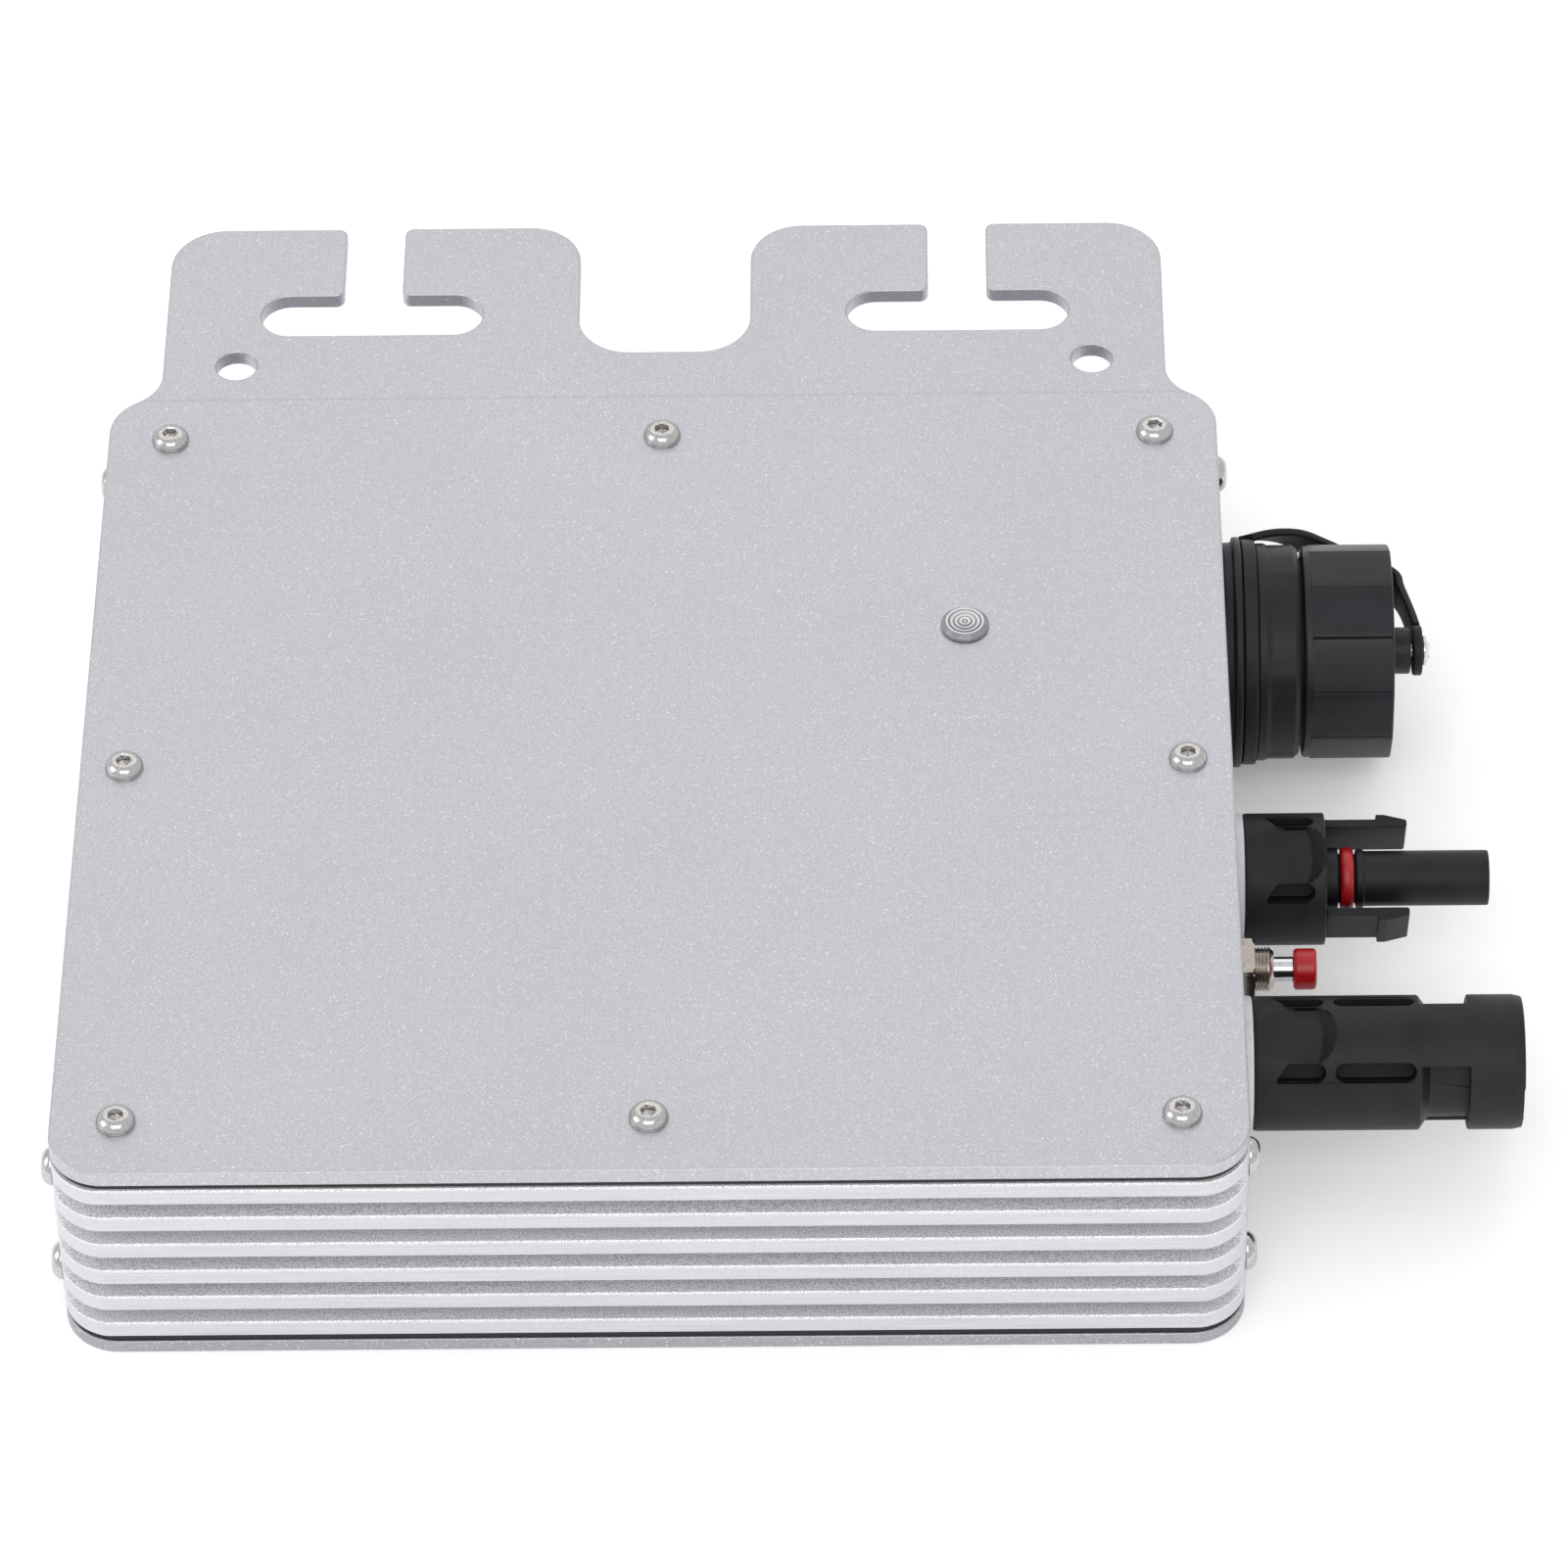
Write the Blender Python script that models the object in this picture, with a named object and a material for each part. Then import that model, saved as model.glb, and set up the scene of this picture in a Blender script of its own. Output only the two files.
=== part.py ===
"""Grid-tie micro inverter: a finned aluminium housing with AC and DC connectors on one end plate.

Frame: X runs along the width toward the connectors, Y toward the mounting flange, Z up.
The origin is the centre of the base cover's outer face. All sizes are in metres.
"""

import math

import bmesh
import bpy
from mathutils import Matrix, Vector

MM = 0.001
TURN = 2 * math.pi

# Housing
HOUSING_WIDTH = 170 * MM
HOUSING_DEPTH = 162.5 * MM
CORNER_RADIUS = 8 * MM
TOP_COVER_THICKNESS = 2.4 * MM
BASE_COVER_THICKNESS = 2.2 * MM
GASKET_SPACE = 1.2 * MM
GASKET_WIDTH = 7 * MM
GASKET_INSET = 0.4 * MM
FIN_COUNT = 6
FIN_THICKNESS = 2.95 * MM
FIN_GROOVE = 2.64 * MM
FIN_DEPTH = 5 * MM
RAIL_WALL = 3.5 * MM
REBATE_WALL = 1.55 * MM
RAIL_LIP_DEPTH = 6 * MM
RAIL_LIP_HEIGHT = 8.8 * MM
END_PLATE_THICKNESS = 3 * MM
END_PLATE_CHAMFER = 0.5 * MM
LUG_DEPTH = 7.8 * MM
LUG_WIDTH = 8 * MM
LUG_HEIGHT = 3.4 * MM

# Mounting flange of the top cover
FLANGE_WIDTH = 155.1 * MM
FLANGE_LENGTH = 38.75 * MM
FLANGE_CORNER_RADIUS = 8.5 * MM
FLANGE_ROOT_RADIUS = 6.9 * MM
FLANGE_ROOT_ANGLE = math.radians(30)
SLOT_SPACING = 91.2 * MM
SLOT_LENGTH = 34.5 * MM
SLOT_WIDTH = 9.2 * MM
SLOT_SETBACK = 18.4 * MM
SLOT_ENTRY_WIDTH = 9.1 * MM
SLOT_ENTRY_RADIUS = 1.4 * MM
NOTCH_WIDTH = 26.6 * MM
NOTCH_DEPTH = 29.4 * MM
NOTCH_RADIUS = 8 * MM
FLANGE_HOLE_SPACING = 132.4 * MM
FLANGE_HOLE_SETBACK = 6.9 * MM
FLANGE_HOLE_RADIUS = 3.15 * MM

# Fasteners
SCREW_RADIUS = 1.5 * MM
SCREW_HEAD_RADIUS = 2.85 * MM
SCREW_HEAD_HEIGHT = 1.65 * MM
SCREW_SOCKET_RADIUS = 1.15 * MM
SCREW_SOCKET_DEPTH = 1.1 * MM
SCREW_LENGTH = 6.5 * MM
SCREW_HOLE_DEPTH = 7.2 * MM
SCREW_POINTS = 12
COVER_SCREW_INSET_X = 9.55 * MM
COVER_SCREW_INSET_Y = 10.05 * MM
LUG_SCREW_INSET_X = 6.6 * MM
END_SCREW_SPACING_Z = 20 * MM

# Fits
GAP = 0.3 * MM
OVERLAP = 0.5 * MM

# Status lens on the top cover
LENS_X = 45.9 * MM
LENS_Y = 28.6 * MM
LENS_RADIUS = 3.65 * MM
LENS_TOP_RADIUS = 2.75 * MM
LENS_STEM_RADIUS = 2.3 * MM
LENS_RIM_HEIGHT = 0.6 * MM
LENS_HEIGHT = 1.1 * MM

# AC connector: distances run outward from the face of the end plate
AC_Y = 42.1 * MM
AC_STEM_RADIUS = 12 * MM
AC_STEM_LENGTH = 8 * MM
AC_FLANGE_RADIUS = 17 * MM
AC_FLANGE_LENGTH = 1.3 * MM
AC_BEAD_RADIUS = 17.5 * MM
AC_BEAD_LENGTH = 1.3 * MM
AC_SEAT_RADIUS = 15.9 * MM
AC_SEAT_LENGTH = 2.3 * MM
AC_BARREL_RADIUS = 16.55 * MM
AC_BARREL_LENGTH = 6.4 * MM
AC_BARREL_CHAMFER = 0.9 * MM
AC_NECK_RADIUS = 14.2 * MM
AC_NECK_LENGTH = 9.4 * MM
AC_BORE_RADIUS = 11.5 * MM
AC_NUT_RADIUS = 13.9 * MM
AC_NUT_LENGTH = 3.5 * MM
AC_INSERT_FRONT = 15.5 * MM
AC_CONTACT_HOLE_RADIUS = 1.4 * MM
AC_CONTACT_HOLE_DEPTH = 8 * MM
AC_CONTACT_CIRCLE_RADIUS = 5.5 * MM
AC_CONTACT_COUNT = 3

# AC cap and its tether
CAP_SIDES = 12
CAP_RADIUS = 16.4 * MM
CAP_WALL_CLEARANCE = 0.4 * MM
CAP_END_WALL = 3 * MM
CAP_EDGE = 0.5 * MM
CAP_SEAL_THICKNESS = 1 * MM
CAP_BOSS_RADIUS = 3.55 * MM
CAP_BOSS_LENGTH = 3.2 * MM
TETHER_RING_RADIUS = 17.2 * MM
TETHER_THICKNESS = 1.2 * MM
TETHER_WIDTH = 5 * MM
TETHER_TAB_RADIUS = 3.7 * MM
TETHER_TAB_THICKNESS = 1.5 * MM
TETHER_ARCH = 0.7 * MM
TETHER_STEPS = 3
CAP_SCREW_RADIUS = 1.1 * MM
CAP_SCREW_HEAD_RADIUS = 2.3 * MM
CAP_SCREW_HEAD_HEIGHT = 1.1 * MM
CAP_SCREW_LENGTH = 5 * MM

# DC connectors
DC_PLUG_Y = -6.4 * MM
DC_SOCKET_Y = -43.8 * MM
DC_PLUG_ROLL = math.radians(20)
DC_SOCKET_ROLL = math.radians(15)
DC_STEM_RADIUS = 6 * MM
DC_STEM_LENGTH = 9 * MM
DC_SEAL_OVERHANG = 0.1 * MM
DC_SEAL_THICKNESS = 1.1 * MM
DC_BODY_RADIUS = 9.8 * MM
DC_NUT_RADIUS = 9.8 * MM
DC_NUT_LENGTH = 4 * MM
DC_GRIP_START = 0.5 * MM
DC_GRIP_SLOPE = 5.8 * MM
DC_GRIP_FLAT = 3.6 * MM
DC_GRIP_END = 2.2 * MM
DC_GRIP_DEPTH = 1.8 * MM
DC_GRIP_WIDTH = 9 * MM
DC_POCKET_ANGLE = math.radians(37)
DC_POCKET_WIDTH = 2.6 * MM
DC_POCKET_DEPTH = 2.8 * MM
DC_POCKET_START = 3 * MM
DC_POCKET_LENGTH = 7.2 * MM
PLUG_BODY_LENGTH = 12 * MM
PROBE_RADIUS = 4.1 * MM
PROBE_LENGTH = 24.3 * MM
PROBE_COLLAR_RADIUS = 4.35 * MM
PROBE_COLLAR_LENGTH = 1 * MM
PROBE_BORE_RADIUS = 2.2 * MM
O_RING_START = 2 * MM
O_RING_LENGTH = 2 * MM
O_RING_RADIUS = 4.7 * MM
O_RING_GROOVE_RADIUS = 3.6 * MM
LATCH_INNER_RADIUS = 6.5 * MM
LATCH_THICKNESS = 1.3 * MM
LATCH_WIDTH = 8.2 * MM
LATCH_LENGTH = 12 * MM
LATCH_BARB_LENGTH = 4.6 * MM
LATCH_BARB_HEIGHT = 0.75 * MM
LATCH_BARB_CREST = 1.15 * MM
LATCH_TIP_RELIEF = 0.15 * MM
SHELL_BODY_LENGTH = 24 * MM
SHELL_CHAMFER = 1.4 * MM
SHELL_NECK_DEPTH = 1.95 * MM
SHELL_NECK_LENGTH = 5.7 * MM
SHELL_COLLAR_LENGTH = 8 * MM
SHELL_BAND_ANGLE = math.radians(32.5)
SHELL_SLOT_ANGLE = math.radians(35)
SHELL_SLOT_LEAD = 1 * MM
SHELL_TAPER = 0.3 * MM
SHELL_TAPER_LENGTH = 1.5 * MM
SHELL_WALL = 0.4 * MM
SHELL_BORE_RADIUS = 5 * MM
SHELL_BORE_DEPTH = 29 * MM
SHELL_POCKET_START = 11.7 * MM
SHELL_POCKET_LENGTH = 12.3 * MM
CONTACT_RADIUS = 1.9 * MM
CONTACT_SETBACK = 1 * MM
PIN_RADIUS = 1.25 * MM
PIN_SETBACK = 6.5 * MM

# Push button
BUTTON_Y = -24.9 * MM
BUTTON_THREAD_RADIUS = 3.3 * MM
BUTTON_THREAD_LENGTH = 4.8 * MM
BUTTON_NOSE = 0.7 * MM
BUTTON_CAN_RADIUS = 4.5 * MM
BUTTON_CAN_LENGTH = 8 * MM
BUTTON_BORE_RADIUS = 2.15 * MM
BUTTON_CAN_WALL = 1 * MM
BUTTON_NUT_WALL = 2.2 * MM
BUTTON_NUT_LENGTH = 2.4 * MM
BUTTON_STEM_RADIUS = 1.85 * MM
BUTTON_STEM_START = -4 * MM
BUTTON_CAP_START = 8.4 * MM
BUTTON_CAP_RADIUS = 3.05 * MM
BUTTON_CAP_LENGTH = 3.4 * MM
BUTTON_CAP_EDGE = 0.5 * MM
SPRING_RADIUS = 1.4 * MM
SPRING_WIRE_RADIUS = 0.2 * MM
SPRING_COILS = 4

# Electronics
BOARD_THICKNESS = 1.6 * MM
BOARD_END_CLEARANCE = 12 * MM
CORE_X = -34 * MM
CORE_Y = 18 * MM
CORE_WIDTH = 40 * MM
CORE_DEPTH = 34 * MM
CORE_HEIGHT = 10 * MM
CORE_LEG = 12 * MM
CORE_YOKE = 5 * MM
CORE_SIDE = 6 * MM
WINDING_HEIGHT = 15.6 * MM
WINDING_BUILD = 7 * MM
CAPACITOR_X = 6 * MM
CAPACITOR_SPACING = 19 * MM
CAPACITOR_Y = -34 * MM
CAPACITOR_RADIUS = 8 * MM
CAPACITOR_HEIGHT = 17 * MM
FILM_X = -40 * MM
FILM_Y = -34 * MM
FILM_SIZE = (26 * MM, 12 * MM, 15 * MM)
CHOKE_X = 25 * MM
CHOKE_Y = 24 * MM
CHOKE_RADIUS = 10.5 * MM
CHOKE_SECTION_RADIUS = 4.2 * MM
TRANSISTOR_SIZE = (10 * MM, 4.2 * MM, 9.5 * MM)
TRANSISTOR_COUNT = 4
TRANSISTOR_PITCH = 24 * MM
CLAMP_BAR_SIZE = (84 * MM, 2.2 * MM, 5 * MM)
STANDOFF = 0.3 * MM

BODY_HEIGHT = FIN_COUNT * FIN_THICKNESS + (FIN_COUNT - 1) * FIN_GROOVE
BODY_BOTTOM = BASE_COVER_THICKNESS + GASKET_SPACE
BODY_TOP = BODY_BOTTOM + BODY_HEIGHT
COVER_BOTTOM = BODY_TOP + GASKET_SPACE
COVER_TOP = COVER_BOTTOM + TOP_COVER_THICKNESS
MIDDLE_Z = (BODY_BOTTOM + BODY_TOP) / 2
HALF_WIDTH = HOUSING_WIDTH / 2
HALF_DEPTH = HOUSING_DEPTH / 2
FLANGE_EDGE = HALF_DEPTH + FLANGE_LENGTH
SCREW_X = HALF_WIDTH - COVER_SCREW_INSET_X
SCREW_Y = HALF_DEPTH - COVER_SCREW_INSET_Y
LUG_SCREW_X = HALF_WIDTH - LUG_SCREW_INSET_X
HOLE_RADIUS = SCREW_RADIUS + GAP

BLACK = (0.028, 0.029, 0.032)
SILVER = (0.58, 0.58, 0.61)
STEEL = (0.62, 0.62, 0.62)
RUBBER = (0.02, 0.02, 0.022)


# --- Shapes -----------------------------------------------------------------------------------


def rounded(corners, step=math.radians(20)):
    """Outline points from (x, y, radius) corners, with an arc in place of each corner."""
    points = []
    for i, (x, y, radius) in enumerate(corners):
        corner = Vector((x, y))
        before = (Vector(corners[i - 1][:2]) - corner).normalized()
        after = (Vector(corners[(i + 1) % len(corners)][:2]) - corner).normalized()
        half = before.angle(after) / 2
        centre = corner + (before + after).normalized() * (radius / math.sin(half))
        start = corner + before * (radius / math.tan(half)) - centre
        sweep = math.pi - 2 * half
        if before.cross(after) > 0:
            sweep = -sweep
        steps = max(2, math.ceil(abs(sweep) / step - 0.001))
        for k in range(steps + 1):
            points.append(centre + Matrix.Rotation(sweep * k / steps, 2) @ start)
    return points


def prism(outline, bottom, top):
    """Extrude an outline in the XY plane from one height to another."""
    mesh = bmesh.new()
    face = mesh.faces.new([mesh.verts.new((p[0], p[1], bottom)) for p in outline])
    raised = bmesh.ops.extrude_face_region(mesh, geom=[face])["geom"]
    verts = [item for item in raised if isinstance(item, bmesh.types.BMVert)]
    bmesh.ops.translate(mesh, verts=verts, vec=(0, 0, top - bottom))
    bmesh.ops.recalc_face_normals(mesh, faces=mesh.faces)
    return mesh


def lengthwise(outline, start, end):
    """Extrude an outline of (y, z) points along X."""
    mesh = prism([(y, z) for y, z in outline], start, end)
    to_x = Matrix(((0, 0, 1), (1, 0, 0), (0, 1, 0))).to_4x4()
    bmesh.ops.transform(mesh, matrix=to_x, verts=mesh.verts)
    return mesh


def crosswise(outline, width):
    """Extrude an outline of (x, z) points to both sides along Y."""
    mesh = prism([(x, z) for x, z in outline], -width / 2, width / 2)
    to_y = Matrix(((1, 0, 0), (0, 0, -1), (0, 1, 0))).to_4x4()
    bmesh.ops.transform(mesh, matrix=to_y, verts=mesh.verts)
    return mesh


def box(low, high):
    """A box between two corners."""
    outline = [(low[0], low[1]), (high[0], low[1]), (high[0], high[1]), (low[0], high[1])]
    return prism(outline, low[2], high[2])


def turned(profile, segments=24):
    """Spin (x, radius) points about X. Ends on the axis close it, otherwise it is a ring."""
    mesh = bmesh.new()
    verts = [mesh.verts.new((x, 0, radius)) for x, radius in profile]
    edges = [mesh.edges.new(pair) for pair in zip(verts, verts[1:])]
    if profile[0][1] > 0:
        edges.append(mesh.edges.new((verts[-1], verts[0])))
    bmesh.ops.spin(mesh, geom=verts + edges, cent=(0, 0, 0), axis=(1, 0, 0), angle=TURN,
                   steps=segments, use_merge=True)
    bmesh.ops.remove_doubles(mesh, verts=mesh.verts, dist=1e-6)
    bmesh.ops.recalc_face_normals(mesh, faces=mesh.faces)
    return mesh


def tube(start, end, outer, inner, segments=24):
    """A plain ring about X."""
    return turned([(start, inner), (start, outer), (end, outer), (end, inner)], segments)


def rod(start, end, radius, segments=20):
    """A plain cylinder about X."""
    return turned([(start, 0), (start, radius), (end, radius), (end, 0)], segments)


def faceted(start, end, radius, sides, edge=0.0):
    """A polygonal bar about X whose corners lie on a circle, with both edges broken."""
    return turned([(start, 0), (start, radius - edge), (start + edge, radius),
                   (end - edge, radius), (end, radius - edge), (end, 0)], sides)


def swept(path, section):
    """Sweep a section along (point, outward direction) pairs."""
    mesh = bmesh.new()
    rings = []
    for i, (point, outward) in enumerate(path):
        ahead = path[min(i + 1, len(path) - 1)][0] - path[max(i - 1, 0)][0]
        side = ahead.cross(outward).normalized()
        up = side.cross(ahead).normalized()
        rings.append([mesh.verts.new(point + side * u + up * v) for u, v in section])
    for first, second in zip(rings, rings[1:]):
        for k in range(len(section)):
            n = (k + 1) % len(section)
            mesh.faces.new((first[k], first[n], second[n], second[k]))
    mesh.faces.new(list(reversed(rings[0])))
    mesh.faces.new(rings[-1])
    bmesh.ops.recalc_face_normals(mesh, faces=mesh.faces)
    return mesh


def sector(inner, outer, half_angle, start, end, steps=8):
    """Part of a ring about X, centred on +Y and spanning half an angle to each side."""
    ring = []
    for k in range(steps + 1):
        angle = half_angle * (2 * k / steps - 1)
        ring.append((math.cos(angle), math.sin(angle)))
    outline = [(y * inner, z * inner) for y, z in ring]
    outline += [(y * outer, z * outer) for y, z in reversed(ring)]
    return lengthwise(outline, start, end)


def merged(*shapes):
    """Put several separate shapes into one mesh, for use as a single cutter."""
    mesh = bmesh.new()
    for shape in shapes:
        data = bpy.data.meshes.new("shape")
        shape.to_mesh(data)
        shape.free()
        mesh.from_mesh(data)
        bpy.data.meshes.remove(data)
    return mesh


def moved(mesh, offset=(0, 0, 0), turn=None):
    """Turn a mesh about the origin, then shift it."""
    matrix = Matrix.Translation(Vector(offset))
    if turn:
        matrix = matrix @ Matrix.Rotation(turn[0], 4, turn[1])
    bmesh.ops.transform(mesh, matrix=matrix, verts=mesh.verts)
    return mesh


def catmull_rom(points, steps):
    """A smooth run of points through the given ones."""
    ends = [2 * points[0] - points[1]] + points + [2 * points[-1] - points[-2]]
    run = []
    for a, b, c, d in zip(ends, ends[1:], ends[2:], ends[3:]):
        for k in range(steps):
            t = k / steps
            run.append(0.5 * (2 * b + (c - a) * t + (2 * a - 5 * b + 4 * c - d) * t**2
                              + (3 * b - a - 3 * c + d) * t**3))
    run.append(points[-1])
    return run


# --- Objects ----------------------------------------------------------------------------------


def material(name, colour, roughness, metallic=0.0):
    """A Principled material, made once for each name."""
    found = bpy.data.materials.get(name)
    if found:
        return found
    made = bpy.data.materials.new(name)
    made.use_nodes = True
    shader = made.node_tree.nodes["Principled BSDF"]
    shader.inputs["Base Color"].default_value = (*colour, 1)
    shader.inputs["Roughness"].default_value = roughness
    shader.inputs["Metallic"].default_value = metallic
    made.diffuse_color = (*colour, 1)
    return made


def finish(name, data, parent, location, rotation):
    """Place mesh data as an object."""
    item = bpy.data.objects.new(name, data)
    bpy.context.scene.collection.objects.link(item)
    item.parent = parent
    item.location = location
    item.rotation_euler = rotation
    return item


def part(name, mesh, look, parent=None, location=(0, 0, 0), rotation=(0, 0, 0), smooth=True):
    """Make one piece of the inverter, from a new shape or from mesh data shared with another."""
    if isinstance(mesh, bmesh.types.BMesh):
        data = bpy.data.meshes.new(name)
        mesh.to_mesh(data)
        mesh.free()
        if smooth:
            data.shade_smooth()
            data.set_sharp_from_angle(angle=math.radians(32))
        data.materials.append(look)
    else:
        data = mesh
    return finish(name, data, parent, location, rotation)


def tool(target, name, mesh, operation="DIFFERENCE", parent=None, location=(0, 0, 0)):
    """Cut, join or intersect a piece with a hidden shape."""
    data = bpy.data.meshes.new(name)
    mesh.to_mesh(data)
    mesh.free()
    item = finish(name, data, parent or target.parent, location, (0, 0, 0))
    item.hide_render = True
    item.display_type = "WIRE"
    step = target.modifiers.new(name, "BOOLEAN")
    step.object = item
    step.operation = operation
    step.solver = "EXACT"


def axis(name, location, rotation=(0, 0, 0), parent=None):
    """An empty that other pieces hang from."""
    item = bpy.data.objects.new(name, None)
    bpy.context.scene.collection.objects.link(item)
    item.parent = parent
    item.location = location
    item.rotation_euler = rotation
    return item


UPRIGHT = (0, -math.pi / 2, 0)
UPSIDE_DOWN = (0, math.pi / 2, 0)


# --- Fasteners --------------------------------------------------------------------------------


def screw_points():
    """Every cover screw: two rows of three into the rails and one into each end plate."""
    rows = [(x, y) for y in (-SCREW_Y, SCREW_Y) for x in (-SCREW_X, 0, SCREW_X)]
    return rows + [(-LUG_SCREW_X, 0), (LUG_SCREW_X, 0)]


def corner_points():
    """The base cover's screws."""
    return [(x, y) for y in (-SCREW_Y, SCREW_Y) for x in (-SCREW_X, SCREW_X)]


def end_points():
    """Screws through an end plate into the ends of the rails, as (y, z)."""
    half = END_SCREW_SPACING_Z / 2
    return [(y, MIDDLE_Z + dz) for y in (-SCREW_Y, SCREW_Y) for dz in (-half, half)]


def socket_screw(profile, socket, depth):
    """A screw about X from (x, radius) points, with a hexagon socket sunk in its last face."""
    mesh = bmesh.new()
    flat = math.cos(math.pi / 6)
    rows = [(x, radius, radius) for x, radius in profile]
    rows.append((profile[-1][0], socket, socket * flat))
    rows.append((profile[-1][0] - depth, socket, socket * flat))
    rings = []
    for x, even, odd in rows:
        ring = []
        for k in range(SCREW_POINTS):
            angle = TURN * k / SCREW_POINTS
            radius = odd if k % 2 else even
            ring.append(mesh.verts.new((x, radius * math.cos(angle), radius * math.sin(angle))))
        rings.append(ring)
    for first, second in zip(rings, rings[1:]):
        for k in range(SCREW_POINTS):
            n = (k + 1) % SCREW_POINTS
            mesh.faces.new((first[k], first[n], second[n], second[k]))
    mesh.faces.new(list(reversed(rings[0])))
    mesh.faces.new(rings[-1])
    bmesh.ops.recalc_face_normals(mesh, faces=mesh.faces)
    return mesh


def button_head(radius, head_radius, head_height, length):
    """Points of a domed screw head and its shank."""
    return [(-length, radius), (0, radius), (0, head_radius),
            (0.4 * head_height, 0.95 * head_radius), (head_height, 0.5 * head_radius)]


def make_screws():
    """The domed cover and end screws share one mesh; the base screws are countersunk."""
    steel = material("stainless_steel", STEEL, 0.28, 1.0)
    domed = button_head(SCREW_RADIUS, SCREW_HEAD_RADIUS, SCREW_HEAD_HEIGHT, SCREW_LENGTH)
    shared = socket_screw(domed, SCREW_SOCKET_RADIUS, SCREW_SOCKET_DEPTH)
    for number, (x, y) in enumerate(screw_points(), 1):
        place = (x, y, COVER_TOP + GAP)
        item = part(f"cover_screw_{number}", shared, steel, location=place, rotation=UPRIGHT)
        shared = item.data
    number = 0
    for side in (-1, 1):
        for y, z in end_points():
            number += 1
            turn = (0, 0, 0) if side > 0 else (0, 0, math.pi)
            place = (side * (HALF_WIDTH + GAP), y, z)
            part(f"end_screw_{number}", shared, steel, location=place, rotation=turn)
    rise = SCREW_HEAD_RADIUS - SCREW_RADIUS
    sunk = [(-SCREW_LENGTH, SCREW_RADIUS), (-rise, SCREW_RADIUS), (0, SCREW_HEAD_RADIUS)]
    shared = socket_screw(sunk, SCREW_SOCKET_RADIUS, SCREW_SOCKET_DEPTH)
    for number, (x, y) in enumerate(corner_points(), 1):
        item = part(f"base_screw_{number}", shared, steel, location=(x, y, GAP),
                    rotation=UPSIDE_DOWN)
        shared = item.data


# --- Housing ----------------------------------------------------------------------------------


def plan(inset=0.0):
    """The housing's rounded rectangle seen from above."""
    x, y, radius = HALF_WIDTH - inset, HALF_DEPTH - inset, CORNER_RADIUS - inset
    return rounded([(-x, -y, radius), (x, -y, radius), (x, y, radius), (-x, y, radius)])


def slot_corners(centre):
    """A T-shaped hanging slot cut in from the flange's edge, from right to left."""
    entry, end = SLOT_ENTRY_WIDTH / 2, SLOT_LENGTH / 2
    middle = HALF_DEPTH + SLOT_SETBACK
    far, near = middle + SLOT_WIDTH / 2, middle - SLOT_WIDTH / 2
    bend = SLOT_WIDTH / 2 - 0.01 * MM
    return [
        (centre + entry, FLANGE_EDGE, SLOT_ENTRY_RADIUS),
        (centre + entry, far, SLOT_ENTRY_RADIUS),
        (centre + end, far, bend),
        (centre + end, near, bend),
        (centre - end, near, bend),
        (centre - end, far, bend),
        (centre - entry, far, SLOT_ENTRY_RADIUS),
        (centre - entry, FLANGE_EDGE, SLOT_ENTRY_RADIUS),
    ]


def cover_outline():
    """The top cover with its flange, whose roots run into the corners in an S."""
    flange = FLANGE_WIDTH / 2
    slope = math.tan(FLANGE_ROOT_ANGLE)
    turned_by = math.pi / 2 - FLANGE_ROOT_ANGLE
    rise = CORNER_RADIUS * math.tan(turned_by / 2)
    shoulder = HALF_DEPTH - CORNER_RADIUS + rise
    root = shoulder + (HALF_WIDTH - flange) * slope
    notch = NOTCH_WIDTH / 2
    right = [
        (HALF_WIDTH, -HALF_DEPTH, CORNER_RADIUS),
        (HALF_WIDTH, shoulder, CORNER_RADIUS),
        (flange, root, FLANGE_ROOT_RADIUS),
        (flange, FLANGE_EDGE, FLANGE_CORNER_RADIUS),
    ]
    left = [(-x, y, radius) for x, y, radius in reversed(right)]
    middle = [
        (notch, FLANGE_EDGE, NOTCH_RADIUS),
        (notch, FLANGE_EDGE - NOTCH_DEPTH, NOTCH_RADIUS),
        (-notch, FLANGE_EDGE - NOTCH_DEPTH, NOTCH_RADIUS),
        (-notch, FLANGE_EDGE, NOTCH_RADIUS),
    ]
    half = SLOT_SPACING / 2
    return rounded(right + slot_corners(half) + middle + slot_corners(-half) + left)


def drills(points, radius, low, high):
    """Upright cutters at several points, as one shape."""
    shapes = []
    for x, y in points:
        shapes.append(moved(rod(low, high, radius, 12), (x, y, 0), (-math.pi / 2, "Y")))
    return merged(*shapes)


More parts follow.
